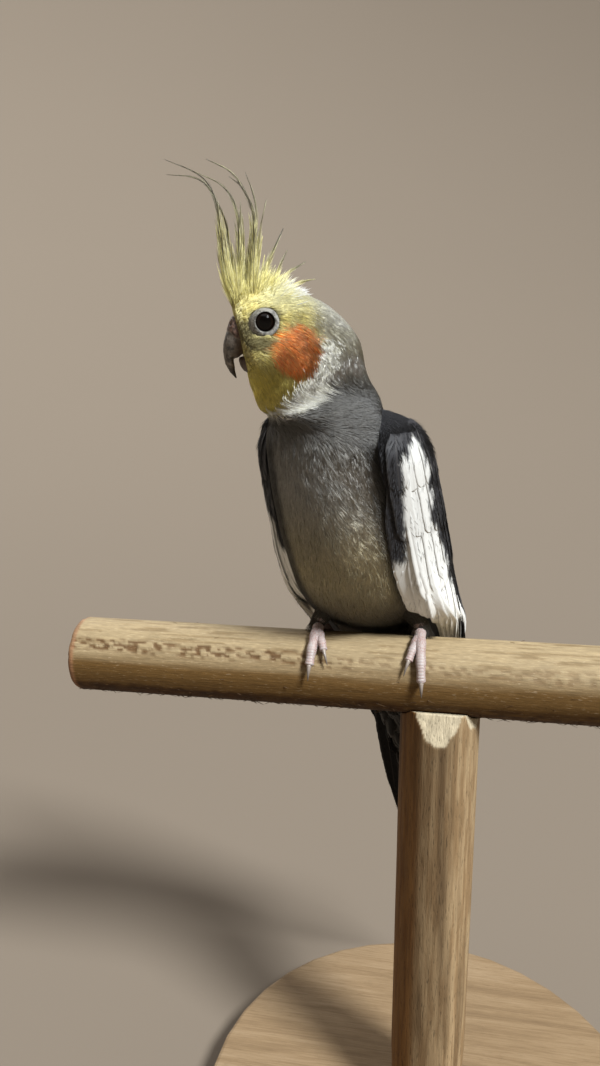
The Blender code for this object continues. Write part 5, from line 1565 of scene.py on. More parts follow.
def build_tail(rng):
    """Twelve long graduated tail feathers under rows of coverts."""
    root = body_point(*TAIL_ROOT)
    tip = np.array(TAIL_TIP)
    along = unit(tip - root)
    length = np.linalg.norm(tip - root)
    out = unit(np.cross(along, UP))
    up = np.cross(out, along)
    vane = vane_master(30, 8)
    strand = blade_master((0, 1))
    leaf = blade_master((0, 0.3, 0.6, 0.85, 1))
    pile = Pile()
    f = vane.spots
    for pair, (reach, near, far, half) in enumerate(TAIL_PAIRS):
        for side in (1, -1):
            under = pair if pair else (0.5 if side > 0 else 0)
            level = TAIL_LIFT - TAIL_STEP * (under + (1 if pair else 0))
            sway = side * (near + (far - near) * f)
            line = root + along * length * reach * (0.02 + 0.98 * f)[:, None] + out * sway[:,
                                                                                           None] + up * level
            taper = np.interp(f, (0, 0.15, 0.4, 0.65, 0.85, 0.96, 1),
                              (0.5, 0.85, 1.0, 0.92, 0.66, 0.36, 0.03))
            width = half * taper * (1 + 0.02 * rng.normal(0, 1, len(f)))
            tone = (tint("tail_middle") if pair == 0 else tint("tail_dark")) * rng.uniform(0.9, 1.1)
            uv = np.array([[0.5, 0.02 + 0.003 * pair]])
            pile.stamp(vane, line[None], np.tile(out, (1, len(f), 1)), np.tile(up, (1, len(f), 1)),
                       width[None],
                       0.22, np.tile(tone, (1, len(vane.level), 1)), uv, np.array([rng.uniform()]), 0.08)
            n = int(length * reach * TAIL_BARBS)
            at, q = rng.uniform(0.06, 1.0, n), rng.uniform(-0.96, 0.96, n)
            w = np.interp(at, f, width)
            lean = np.sign(q) * (0.4 + rng.normal(0, 0.05, n))
            size = np.minimum(rng.uniform(2.2, 4.0, n), ((1 - np.abs(q)) * w + 0.5) / np.sin(np.abs(lean)))
            rise = np.where(rng.uniform(0, 1, n) < 0.6, 0.08 * w * (1 - q * q) + 0.02,
                            -0.24 + 0.08 * w * (1 - q * q))
            start = root + np.outer(length * reach * (0.02 + 0.98 * at), along) + up * (level + rise)[:, None]
            start = start + np.outer(side * (near + (far - near) * at) + q * w, out)
            free_barbs(pile, strand, start, np.tile(along, (n, 1)), np.tile(out, (n, 1)), lean, size,
                       rng.uniform(0.06, 0.1, n), np.zeros(n), tone * rng.uniform(0.8, 1.3, (n, 1)),
                       np.tile(uv, (n, 1)), rng.uniform(0, 1, n))
    pile.build("tail_feathers", feather_material("tail_vanes", 90.0, 0.13, 0.4, 0.3, 0.0, 0.06),
               "tail_plumage", "tail")
    pile = Pile()
    kinds = ((TAIL_COVERT_LEAVES, leaf, 2.2 * LEAF_SHAPE[None], 10, 15),
             (TAIL_COVERT_STRANDS, strand, 0.17 * np.array([[1.0, 0.0]]), 5, 9))
    for count, master, half, low, high in kinds:
        around = rng.uniform(0, 2 * math.pi, count)
        down = rng.uniform(-0.16, 0.22, count)
        wide = np.interp(down, TAIL_SLEEVE[0], TAIL_SLEEVE[1])
        deep = np.interp(down, TAIL_SLEEVE[0], TAIL_SLEEVE[2])
        start = root + np.outer(down * length, along) - up * 1.2
        start = start + np.outer(np.cos(around) * deep, up) + np.outer(np.sin(around) * wide, out)
        face = unit(np.outer(np.cos(around) / 4.0, up) + np.outer(np.sin(around) / 9.0, out))
        lie = unit(np.tile(along, (count, 1)) + 0.07 * rng.normal(0, 1, (count, 3)))
        across = unit(np.cross(face, lie))
        size = rng.uniform(low, high, count)[:, None, None]
        spots = master.spots[None, :, None]
        p = start[:, None] + lie[:, None] * size * spots - face[:, None] * (0.08 * size * spots ** 1.5 - 0.25
                                                                            * spots)
        k = len(master.spots)
        tone = blend(tint("wing_grey") * 1.5, tint("tail_dark"), ramp(np.cos(around), 0.3, -0.3))
        tone = tone * rng.uniform(0.88, 1.12, (count, 1))
        pile.stamp(master, p, np.repeat(across[:, None], k, 1), np.repeat(face[:, None], k, 1), half, 0.05,
                   tone,
                   np.tile([0.5, 0.03], (count, 1)), rng.uniform(0, 1, count), 0.06)
    pile.build("tail_coverts", coat_material("tail_covert_barbs"), "tail_plumage")


# Toes: name, reach along the perch, start and end angle round it, size.
TOES = (("inner_front", -3.2, 8, 54, 0.88), ("outer_front", 1.0, 2, 80, 1.0),
        ("inner_back", -4.0, -12, -78, 0.85), ("outer_back", 2.6, -6, -96, 0.95))
# Legs: place along the perch, side and how far the front toes reach.
LEGS = {"left": (-7.2, 1, 1.0), "right": (-40.2, -1, 0.84)}
TOE_RADIUS = 1.75
SCALE_SIZE = 0.5
CLAW_LENGTH = 5.3
GAP = 0.3


def toe_line(x, side, grip, toe):
    """Toe's centre line round the perch and its radius along the way."""
    _, reach, start, end, size = toe
    f = np.linspace(0, 1, 40)
    radius = TOE_RADIUS * size
    end = start + (end - start) * grip if end > 0 else end
    r = PERCH_RADIUS + radius + GAP * 0.4
    a = np.radians(start + (end - start) * f)
    line = np.stack([x + side * reach * f, -r * np.sin(a), r * np.cos(a)], -1)
    return line, radius * (1.08 - 0.26 * f)


def build_feet():
    """Scaly feet gripping the perch, two toes forward and two back, with curved claws."""
    skin, tree, bsdf, place = shader("scaly_foot_skin", 0.5, Subsurface_Weight=0.15,
                                     Subsurface_Radius=(0.0012, 0.0006, 0.0004))
    feet = bpy.context.scene.cockatiel_feet
    bead = carried(tree, "Scale", "Fac")
    pit = grain(tree, place, 2200.0, 4.0, 0.6)
    blotch = grain(tree, place, 380.0, 3.0, 0.6)
    top = mixed(tree, ranged(tree, blotch, 0.4, 0.7, 0.0, 0.6), tuple(feet.scale_top), tuple(feet.skin))
    colour = mixed(tree,
                   ranged(tree, maths(tree, "ADD", bead, maths(tree, "MULTIPLY", pit, 0.3)), 0.15, 0.85),
                   tuple(feet.groove), top)
    tree.links.new(colour, bsdf.inputs["Base Color"])
    tree.links.new(ranged(tree, pit, 0.3, 0.7, 0.42, 0.65), bsdf.inputs["Roughness"])
    bump(tree, bsdf, pit, 0.35, 0.0002)
    claw_mat, tree, bsdf, place = shader("claw_horn", 0.3)
    x = add(tree, "ShaderNodeSeparateXYZ", {0: carried(tree, "Vane", "Vector")}).outputs[0]
    streak = grain(tree, place, 1200.0, 4.0, 0.6)
    colour = mixed(tree, ranged(tree, maths(tree, "ADD", x, maths(tree, "MULTIPLY", streak, 0.4)), 0.3, 1.0),
                   tuple(feet.claw_base), tuple(feet.claw_tip))
    tree.links.new(colour, bsdf.inputs["Base Color"])
    tree.links.new(ranged(tree, streak, 0.3, 0.7, 0.25, 0.42), bsdf.inputs["Roughness"])
    bump(tree, bsdf, streak, 0.3, 0.0002)
    for name, (x0, side, grip) in LEGS.items():
        limbs = []
        for toe in TOES:
            line, radius = toe_line(x0, side, grip, toe)
            limbs.append(scaly_limb("toe", line, radius, line * np.array([0, 1, 1]), 3.2))
            finish(wrapped(f"claw_{name}_{toe[0]}_horn", 40, 24, claw_shape(line, radius[-1])), claw_mat,
                   "claw_horn", f"claw_{name}_{toe[0]}")
        hip = np.array([x0 - side * 3.0, 8.0, 34.0])
        ankle = np.array([x0, 1.5, PERCH_RADIUS + 2.2])
        f = np.linspace(0, 1, 40)
        line = ankle + (hip - ankle) * f[:, None]
        radius = np.interp(f, (0, 0.08, 0.2, 0.6, 1), (1.6, 2.6, 2.3, 2.2, 2.4))
        limbs.append(scaly_limb("shank", line, radius, np.tile([0.0, -1.0, 0.25], (40, 1)), 2.0, (70, 40)))
        deselect()
        for limb in limbs:
            limb.select_set(True)
        bpy.context.view_layer.objects.active = limbs[0]
        bpy.ops.object.join()
        finish(take(f"foot_{name}"), skin, "foot_skin", f"leg_{name}")


def scaly_limb(name, line, radius, dorsal, pads, fine=(130, 58)):
    """Tube along a line covered in small round scales, larger on its back, with soft pads below."""
    t = unit(np.gradient(line, axis=0))
    up = unit(dorsal - t * (dorsal * t).sum(-1, keepdims=True))
    across = np.cross(t, up)
    long = np.linalg.norm(np.diff(line, axis=0), axis=1).sum()
    ring = int(2 * math.pi * radius.mean() / SCALE_SIZE)
    seed = int(1000 * abs(line[0, 0] + line[-1, 1])) % 977

    def scales(x, y):
        bead = cells(x * long / SCALE_SIZE, y * ring, seed, ring)
        small = np.clip(1.25 - 2.3 * bead, 0, 1) ** 0.6
        a = y * 2 * math.pi
        scute = np.clip(np.abs(np.sin(math.pi * x * long / 0.9 + 0.25 * np.cos(a))) * 1.9, 0, 1) ** 0.7
        back = ramp(np.cos(a), 0.55, 0.9) * ramp(x, 0.45, 0.7)
        return small + (scute - small) * back

    def shape(x, y):
        k = x * (len(line) - 1)
        i = np.minimum(k.astype(int), len(line) - 2)
        g = (k - i)[:, None]
        centre, u, c = (m[i] * (1 - g) + m[i + 1] * g for m in (line, up, across))
        r = radius[i] * (1 - g[:, 0]) + radius[i + 1] * g[:, 0]
        a = y * 2 * math.pi
        belly = ramp(-np.cos(a), 0.1, 0.8)
        swell = 0.10 * belly * np.abs(np.sin(math.pi * pads * x))
        knuckle = 0.07 * np.cos(2 * math.pi * 3 * x) * (1 - belly)
        size = r * (0.93 + swell + knuckle) + 0.17 * scales(x, y) - 0.08
        size = size * np.sqrt(np.clip(1 - ((x - 0.95) / 0.05).clip(0, 1) ** 2, 0.2, 1))
        size = size * np.sqrt(np.clip(1 - ((0.03 - x) / 0.03).clip(0, 1) ** 2, 0.2, 1))
        return centre + (u * np.cos(a)[:, None] * 0.94 + c * np.sin(a)[:, None]) * size[:, None]

    obj = wrapped(name, *fine, shape)
    grid = np.zeros(len(obj.data.vertices) * 3)
    obj.data.attributes["Vane"].data.foreach_get("vector", grid)
    x, y, _ = grid.reshape(-1, 3).T
    layer = obj.data.attributes.new("Scale", "FLOAT", "POINT")
    layer.data.foreach_set("value", scales(x, y))
    return obj


def claw_shape(line, radius):
    """Curved tapering claw from a toe's end, flat beneath."""
    t = unit(line[-1] - line[-3])
    inward = -unit(line[-1] * np.array([0, 1, 1]))
    across = np.cross(t, inward)
    start = line[-1] - t * 0.6

    def shape(x, y):
        f = x[:, None]
        centre = start + t * (CLAW_LENGTH * f) + inward * (1.0 * f * f - 1.5 * f * (1 - f))
        a = y * 2 * math.pi
        r = radius * 0.72 * (1 - x) ** 0.8 + 0.06
        r = r * (1 + 0.06 * np.exp(-((x - 0.12) / 0.05) ** 2))
        low = np.where(np.cos(a) > 0, 0.8, 1.05)
        return centre + (inward * (np.cos(a) * low)[:, None] + across * (0.74 * np.sin(a))[:, None]) * r[:,
                                                                                                         None]

    return shape


# Perch, post and base.
SPLINTERS = 420


def wood_material(name, light, middle, dark, flecks, saw):
    """Wood with its grain along X; returns the parts for further work."""
    mat, tree, bsdf, place = shader(name, 0.7, Specular_IOR_Level=0.25)
    out = use(tree, "Wood Grain", Place=place, Light=light, Middle=middle, Dark=dark, Flecks=flecks,
              **{"Saw Marks": saw})
    tree.links.new(out["Roughness"], bsdf.inputs["Roughness"])
    bump(tree, bsdf, out["Height"], 0.45, 0.0004)
    return mat, tree, bsdf, out


def band_share(p):
    """How much a place on the perch belongs to its rough pitted band."""
    x, y, z = p[..., 0], p[..., 1], p[..., 2]
    drift = 0.02 * np.clip(x + 60, 0, 60) + 1.2 * (noise(p * np.array([0.12, 1, 1]), 1.5, 35) - 0.5)
    return ramp(z + drift, 4.6, 5.8) * ramp(z + drift, 9.2,
                                            8.0) * ramp(y, 1.0, -2.0) * (0.45 + 0.55 * ramp(x, -20, -50))


def perch_relief(p):
    """Worn relief of the perch in millimetres: fine fibre, shallow ridges and a pitted band."""
    q = p * np.array([0.06, 1, 1])
    fibre = noise(q, 1.1, 31) - 0.5
    ridge = noise(q * np.array([0.5, 1, 1]), 2.6, 32) - 0.5
    pits = ramp(noise(p * np.array([0.45, 1, 1]), 0.75, 33), 0.45, 0.7)
    crack = ramp(noise(q * np.array([0.4, 1, 1]), 1.9, 34), 0.74, 0.8)
    return 0.12 * fibre + 0.16 * ridge - 0.32 * pits * band_share(p) - 0.3 * crack


def perch_colour(p):
    """Wood by place: top lightened as painted light, tan front, pitted band, underside darkened as painted
    shade.
    """
    stand = bpy.context.scene.cockatiel_stand
    light, middle, dark = (np.array(getattr(stand, "perch_" + k)[:3]) for k in ("light", "middle", "dark"))
    q = p * np.array([0.05, 1, 1])
    z = p[..., 2]
    streak = noise(q, 0.8, 36) - 0.5
    wave = noise(q * np.array([0.6, 1, 1]), 2.4, 37) - 0.5
    # Lighter towards the top: painted light.
    colour = blend(middle, light, ramp(z + 2.5 * wave + 1.5 * streak, 0.5, 6.5))
    rows = ramp(noise(q, 0.55, 38), 0.6, 0.75) * ramp(z, 3, 7)
    colour = blend(colour, middle * 0.85, 0.45 * rows)
    rough = noise(p * np.array([0.45, 1, 1]), 0.75, 33)
    colour = blend(colour, dark * 1.7, band_share(p) * ramp(rough, 0.4, 0.62) * 0.85)
    hair = 3.2 * (noise(p * np.array([0.5, 1, 1]), 1.2, 39) - 0.5) + 4.5 * wave
    # Darker towards the bottom with a hairy edge: painted shade on the underside.
    low = ramp(z + hair, -4.8, -8.6)
    blotch = 0.7 + 0.6 * noise(p * np.array([0.5, 1, 1]), 1.6, 40)
    colour = blend(colour, dark * blotch[..., None], low)
    left, right = PERCH_ENDS
    rim = ramp(p[..., 0], left + 3.2, left + 2.2)
    colour = blend(colour, np.array([0.30, 0.15, 0.075]) * blotch[..., None], rim * 0.75)
    end = np.maximum(ramp(p[..., 0], left + 0.5, left + 0.2), ramp(p[..., 0], right - 0.6, right - 0.3))
    ring = 0.5 + 0.5 * np.sin(3.1 * np.hypot(p[..., 1] - 1.5, z + 2.0) + 3 * wave)
    grown = blend(light * 0.85, middle * 0.75, ring * 0.6)
    return blend(colour, grown, end) * (0.93 + 0.14 * noise(p * np.array([0.2, 1, 1]), 0.4, 44))[..., None]


def build_perch(rng):
    """Round wooden rod with a chamfered end, a rough band and a hairy underside darkened as painted shade."""
    left, right = PERCH_ENDS
    r = PERCH_RADIUS
    profile = [(left, 0.4), (left + 0.05, r * 0.4), (left + 0.15, r - 2.3)]
    profile += [(left + 2.3 - 2.1 * math.cos(a), r - 2.3 + 2.3 * math.sin(a))
                for a in np.linspace(0.2, 1.57, 8)]
    profile += [(left + (right - left) * f, r) for f in np.linspace(0.03, 0.99, 60)]
    profile += [(right - 0.7, r - 0.15), (right - 0.2, r - 0.5), (right - 0.05, r * 0.8), (right, 0.4)]
    profile = np.array(profile)
    arc = np.concatenate([[0], np.cumsum(np.hypot(*np.diff(profile, axis=0).T))])

    def shape(x, y):
        s = x * arc[-1]
        px, pr = np.interp(s, arc, profile[:, 0]), np.interp(s, arc, profile[:, 1])
        a = y * 2 * math.pi
        p = np.stack([px, pr * np.cos(a), pr * np.sin(a)], -1)
        size = pr + (perch_relief(p) - 0.06) * (0.2 + 0.8 * ramp(pr, r * 0.4, r))
        return np.stack([px, size * np.cos(a), size * np.sin(a)], -1)

    mat, tree, bsdf, place = shader("perch_wood", 0.72, Specular_IOR_Level=0.25)
    paint = carried(tree, "Plumage", "Color")
    fibre = grain(tree, place, 1.0, 5.0, 0.65, (90.0, 1700.0, 1700.0))
    fleck = grain(tree, place, 1.0, 3.0, 0.6, (420.0, 2400.0, 2400.0))
    tone = maths(tree, "ADD", ranged(tree, fibre, 0.3, 0.7, 0.84, 1.14),
                 ranged(tree, fleck, 0.35, 0.65, -0.1, 0.1))
    lit = toned(tree, paint, tone)
    pale = ranged(tree, fleck, 0.62, 0.7, 0.0, 0.3)
    tree.links.new(mixed(tree, pale, lit, mixed(tree, 0.5, lit, (0.8, 0.7, 0.52, 1))),
                   bsdf.inputs["Base Color"])
    tree.links.new(ranged(tree, fibre, 0.3, 0.7, 0.6, 0.82), bsdf.inputs["Roughness"])
    bump(tree, bsdf, maths(tree, "ADD", fibre, maths(tree, "MULTIPLY", fleck, 0.5)), 0.4, 0.0004)
    rod = wrapped("perch_rod", 400, 110, shape)
    painted(rod, perch_colour)
    finish(rod, mat, "perch_wood", "perch")
    pile = Pile()
    strand = blade_master((0, 0.35, 0.7, 1))
    n = SPLINTERS
    x = rng.uniform(left + 1, right - 2, n)
    a = rng.normal(math.radians(-112), 0.4, n)
    wild = rng.uniform(0, 1, n) < 0.15
    a[wild] = rng.uniform(0, 2 * math.pi, wild.sum())
    face = np.stack([np.zeros(n), np.cos(a), np.sin(a)], -1)
    along = np.array([1.0, 0, 0]) * np.where(rng.uniform(0, 1, n) < 0.5, -1, 1)[:, None]
    root = np.stack([x, face[:, 1] * (r - 0.25), face[:, 2] * (r - 0.25)], -1)
    keep = ~((a > 0.2) & (a < 2.9) & (x > -55) & (x < 8))
    root, along, face = root[keep], along[keep], face[keep]
    n = len(root)
    stand = bpy.context.scene.cockatiel_stand
    tone = blend(np.array(stand.perch_middle[:3]), np.array(stand.perch_dark[:3]), rng.uniform(0, 1, n))
    free_barbs(pile, strand, root, along, face, rng.uniform(0.06, 0.45, n), rng.uniform(1.0, 3.2, n),
               rng.uniform(0.05, 0.12, n), rng.uniform(-0.2, 0.3, n), tone, np.zeros((n, 2)),
               rng.uniform(0, 1, n))
    pile.build("perch_splinters", coat_material("splinters"), "perch_wood")


# Post: top height, room round the perch, and its whittled flats: direction, depth at the top, height.
POST_TOP = -9.0
POST_CUTS = ((-92, 2.5, 11.0), (-28, 1.4, 7.0))
POST_SEAT = 12.7


def build_post():
    """Upright post with a saddle for the perch and two whittled flats of fresh pale wood."""
    low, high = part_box("stand_post")
    floor = low.z / MM - AXIS_Z / MM
    r0 = (high.y - low.y) / 2 / MM

    def rim(a, z):
        ragged = 0.5 * (noise(np.stack([np.cos(a) * 9, np.sin(a) * 9, z * 0.12], -1), 1.1, 51) - 0.5)
        rho = r0 - 0.06 + 0.12 * (noise(np.stack([np.cos(a) * 13, np.sin(a) * 13, z * 0.05], -1), 1.0, 52)
                                  - 0.5)
        cut = rho
        for direction, deep, tall in POST_CUTS:
            facing = np.cos(a - math.radians(direction))
            reach = (r0 - deep + (POST_TOP - z) * deep / tall + ragged) / np.maximum(facing, 0.2)
            cut = np.minimum(cut, np.where(facing > 0.25, reach, rho))
        return cut, rho - cut

    def shape(x, y):
        a = y * 2 * math.pi
        up = np.clip(x / 0.86, 0, 1) ** 0.5
        z = np.full_like(a, POST_TOP)
        for _ in range(3):
            rho, _ = rim(a, z)
            seat = -np.sqrt(np.maximum(POST_SEAT ** 2 - (rho * np.sin(a)) ** 2, 0))
            z = floor + (np.minimum(POST_TOP, seat) - floor) * up
        rho, _ = rim(a, z)
        rho = rho * (1 - np.clip((x - 0.86) / 0.14, 0, 0.97))
        rho = rho - 0.5 * ramp(x, 0.02, 0.0)
        seat = -np.sqrt(np.maximum(POST_SEAT ** 2 - (rho * np.sin(a)) ** 2, 0))
        z = np.where(x > 0.86, np.minimum(POST_TOP, seat), z)
        return np.stack([rho * np.cos(a), rho * np.sin(a), z], -1)

    def colour(p):
        stand = bpy.context.scene.cockatiel_stand
        light, middle, dark, fresh = (np.array(getattr(stand, "post_" + k)[:3])
                                      for k in ("light", "middle", "dark", "fresh"))
        q = p * np.array([1, 1, 0.05])
        x, y, z = p[..., 0], p[..., 1], p[..., 2]
        streak = 0.6 * noise(q, 1.1, 53) + 0.4 * noise(q, 0.45, 54)
        wood = blend(middle, light, ramp(streak, 0.35, 0.65))
        wood = blend(wood, dark, ramp(noise(q, 2.4, 55), 0.62, 0.8) * 0.5)
        # Darker on the left side and lighter on the right: painted shade and painted light.
        side = x + 1.5 * (noise(q, 3.0, 56) - 0.5)
        wood = wood * (1 - np.array([0.2, 0.42, 0.66]) * ramp(side, -4.5, -7.5)[..., None])
        wood = wood * (1 + np.array([0.55, 0.6, 0.66]) * ramp(side, 3.0, 8.0)[..., None])
        a = np.arctan2(y, x)
        cut = np.where(z < POST_TOP - 0.02, rim(a, z)[1], 0.4 * (np.hypot(x, y) < r0 - 0.3))
        pale = fresh * (0.86 + 0.28 * noise(q, 0.6, 57))[..., None]
        return blend(wood, pale, ramp(cut, 0.08, 0.3))

    mat, tree, bsdf, place = shader("post_wood", 0.7, Specular_IOR_Level=0.25)
    paint = carried(tree, "Plumage", "Color")
    fibre = grain(tree, place, 1.0, 5.0, 0.65, (1700.0, 1700.0, 80.0))
    fleck = grain(tree, place, 1.0, 2.0, 0.5, (2400.0, 2400.0, 300.0))
    tone = maths(tree, "ADD", ranged(tree, fibre, 0.3, 0.7, 0.8, 1.18),
                 ranged(tree, fleck, 0.6, 0.68, 0.0, -0.4))
    tree.links.new(toned(tree, paint, tone), bsdf.inputs["Base Color"])
    tree.links.new(ranged(tree, fibre, 0.3, 0.7, 0.58, 0.8), bsdf.inputs["Roughness"])
    bump(tree, bsdf, maths(tree, "SUBTRACT", fibre, fleck), 0.4, 0.0004)
    post = wrapped("post", 200, 130, shape)
    painted(post, colour)
    finish(post, mat, "perch_wood", "stand_post")


def build_base():
    """Finish of the plain round base."""
    stand = bpy.context.scene.cockatiel_stand
    mat, tree, bsdf, out = wood_material("base_wood", tuple(stand.base_light), tuple(stand.base_middle),
                                         tuple(stand.base_dark), 0.3, 0.1)
    tree.links.new(out["Colour"], bsdf.inputs["Base Color"])
    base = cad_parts["stand_base"]
    base.data.materials.clear()
    base.data.materials.append(mat)


# Pale sweep: flat to here, then this radius of curve, in metres.
SWEEP_FLAT = 0.55
SWEEP_CURVE = 2.3
# Lights: direction, apparent size in degrees and colour.
KEY_LIGHT = ((0.55, -0.42, 0.75), 14, (0.95, 0.985, 1.0))
RIM_LIGHT = ((-0.5, 0.7, 0.5), 20, (0.95, 0.97, 1.0))
FILL_COLOUR = (0.93, 0.965, 1.0, 1)


def sun(name, energy, toward, angle, colour):
    """A soft light from a direction."""
    lamp = bpy.data.lights.new(name, "SUN")
    lamp.energy = energy
    lamp.angle = math.radians(angle)
    lamp.color = colour
    obj = bpy.data.objects.new(name, lamp)
    bpy.context.scene.collection.objects.link(obj)
    toward = Vector(toward).normalized()
    obj.rotation_euler = toward.to_track_quat("Z", "Y").to_euler()
    obj.location = toward


def build_stage():
    """Pale sweep, soft key from the upper right, even fill and the photo's camera."""
    setting = bpy.context.scene.cockatiel_stage
    turn = np.linspace(0, 1.5708, 48)
    rings = np.array([(0.0, 0.01), (0.0, 0.3)]
                     + [(SWEEP_CURVE * (1 - math.cos(a)), SWEEP_FLAT + SWEEP_CURVE * math.sin(a))
                                                 for a in turn] + [(4.2, SWEEP_FLAT + SWEEP_CURVE)])

    def shape(x, y):
        k = x * (len(rings) - 1)
        h = np.interp(k, np.arange(len(rings)), rings[:, 0]) / MM
        r = np.interp(k, np.arange(len(rings)), rings[:, 1]) / MM
        a = y * 2 * math.pi
        return np.stack([r * np.cos(a), r * np.sin(a), h - AXIS_Z / MM - 0.2], -1)

    sweep = wrapped("studio_sweep", len(rings) * 2 - 2, 96, shape, ends=False)
    mat, tree, bsdf, place = shader("pale_sweep", 0.95, Specular_IOR_Level=0.0)
    soft = grain(tree, place, 2.0, 3.0, 0.5)
    shade = tuple(0.97 * c for c in setting.floor[:3]) + (1,)
    tree.links.new(mixed(tree, soft, shade, tuple(setting.floor)), bsdf.inputs["Base Color"])
    sweep.data.materials.append(mat)
    sweep.visible_shadow = False
    scene = bpy.context.scene
    world = scene.world or bpy.data.worlds.new("studio")
    scene.world = world
    world.use_nodes = True
    backdrop = world.node_tree.nodes["Background"].inputs
    backdrop["Color"].default_value = FILL_COLOUR
    backdrop["Strength"].default_value = setting.fill
    sun("key", setting.key, *KEY_LIGHT)
    sun("rim", setting.rim, *RIM_LIGHT)
    scene.view_settings.view_transform = "Standard"
    view = bpy.data.cameras.new("camera")
    view.sensor_width = 36.0
    view.sensor_fit = "AUTO"
    view.lens = 36.0 * FOCAL_PIXELS / PHOTO_SIZE[1]
    view.clip_start = 0.01
    camera = bpy.data.objects.new("camera", view)
    scene.collection.objects.link(camera)
    camera.location = metres(CAMERA_PLACE)
    camera.rotation_euler = (math.radians(90 - CAMERA_PITCH), 0, math.radians(-CAMERA_YAW))
    scene.camera = camera


# Settings, operators and panel.
def colour_setting(title, note, rgb):
    """A colour that a user may change."""
    return bpy.props.FloatVectorProperty(name=title, description=note, default=(*rgb, 1.0), size=4,
                                         subtype="COLOR", min=0.0, max=1.0)


class CockatielPlumage(bpy.types.PropertyGroup):
    """Colours of skin and feathers."""
    seed: bpy.props.IntProperty(name="Seed", description="Start of every random draw", default=7, min=0)
    grey: colour_setting("Grey", "Neck and breast", (0.26, 0.255, 0.24))
    belly: colour_setting("Belly", "Low breast and belly", (0.37, 0.33, 0.21))
    # Under: dark colour of thighs and vent, painted shade under the body.
    under: colour_setting("Under", "Thighs and vent", (0.085, 0.068, 0.042))
    crown_grey: colour_setting("Crown", "Grey of head and nape", (0.39, 0.38, 0.31))
    back_grey: colour_setting("Back", "Back and rump", (0.1, 0.1, 0.105))
    white: colour_setting("White", "Wing band and fringes", (0.88, 0.88, 0.86))
    wing_white: colour_setting("Wing white", "White of the wing band", (0.62, 0.62, 0.6))
    yellow: colour_setting("Yellow", "Face and crown", (0.66, 0.56, 0.165))
    pale_yellow: colour_setting("Pale yellow", "Loose pale strands", (0.86, 0.83, 0.52))
    # Chin: brighter than the face's yellow, painted light that lifts the shade under the bill.
    lit_chin: colour_setting("Chin", "Throat under the bill", (0.92, 0.79, 0.18))
    orange: colour_setting("Cheek", "Orange ear patch", (0.9, 0.23, 0.03))
    ear_light: colour_setting("Cheek light", "Paler strands of the ear patch", (0.95, 0.48, 0.14))
    # Lores: painted shade in front of and below the eye.
    lore_shade: colour_setting("Lores", "Dusky feathers round the eye", (0.13, 0.11, 0.06))
    crest_yellow: colour_setting("Crest", "Foot of the crest", (0.76, 0.69, 0.27))
    crest_olive: colour_setting("Crest middle", "Olive of the crest's middle", (0.27, 0.225, 0.065))
    crest_tip: colour_setting("Crest tip", "Ends of the crest", (0.26, 0.22, 0.16))
    crest_shaft: colour_setting("Crest shaft", "Dark shafts of the crest", (0.05, 0.043, 0.035))
    wing_grey: colour_setting("Wing grey", "Small coverts", (0.021, 0.0213, 0.0245))
    flight_grey: colour_setting("Flight feathers", "Dark flight feathers", (0.027, 0.026, 0.029))
    tail_middle: colour_setting("Middle tail", "Two middle tail feathers", (0.02, 0.02, 0.021))
    tail_dark: colour_setting("Outer tail", "Outer tail feathers", (0.006, 0.0058, 0.006))


class CockatielHead(bpy.types.PropertyGroup):
    """Colours of eyes and bill."""
    iris: colour_setting("Iris", "Dark brown of the eye", (0.006, 0.003, 0.002))
    eye_ring: colour_setting("Eye ring", "Bare skin round the eye", (0.26, 0.25, 0.225))
    bill_dark: colour_setting("Bill dark", "Dark horn", (0.04, 0.033, 0.027))
    bill_light: colour_setting("Bill light", "Light horn", (0.13, 0.108, 0.088))
    cere: colour_setting("Cere", "Warm skin over the bill", (0.13, 0.075, 0.055))


class CockatielFeet(bpy.types.PropertyGroup):
    """Colours of feet and claws."""
    skin: colour_setting("Foot skin", "Pink of the soft skin", (0.39, 0.265, 0.24))
    scale_top: colour_setting("Scale tops", "Pale scales", (0.41, 0.36, 0.345))
    groove: colour_setting("Grooves", "Between the scales", (0.27, 0.145, 0.125))
    claw_base: colour_setting("Claw base", "Pale root of the claws", (0.32, 0.27, 0.235))
    claw_tip: colour_setting("Claw tip", "Darker end of the claws", (0.14, 0.115, 0.1))


class CockatielStand(bpy.types.PropertyGroup):
    """Colours of the woods."""
    # Perch light: pale wood of the end rings, also painted on the top as light.
    perch_light: colour_setting("Perch light", "Cream top of the rod", (0.325, 0.245, 0.138))
    perch_middle: colour_setting("Perch middle", "Tan front of the rod", (0.126, 0.067, 0.018))
    # Perch dark: dark wood of pits and splinters, also painted on the underside as shade.
    perch_dark: colour_setting("Perch dark", "Weathered underside", (0.05, 0.0205, 0.0046))
    post_light: colour_setting("Post light", "Early wood", (0.22, 0.15, 0.08))
    post_middle: colour_setting("Post middle", "Late wood", (0.155, 0.096, 0.046))
    post_dark: colour_setting("Post dark", "Weathered grain", (0.06, 0.034, 0.015))
    post_fresh: colour_setting("Post cut", "Freshly cut wood", (0.54, 0.46, 0.32))
    base_light: colour_setting("Base light", "Early wood", (0.29, 0.205, 0.12))
    base_middle: colour_setting("Base middle", "Late wood", (0.225, 0.15, 0.08))
    base_dark: colour_setting("Base dark", "Grain lines", (0.125, 0.078, 0.04))


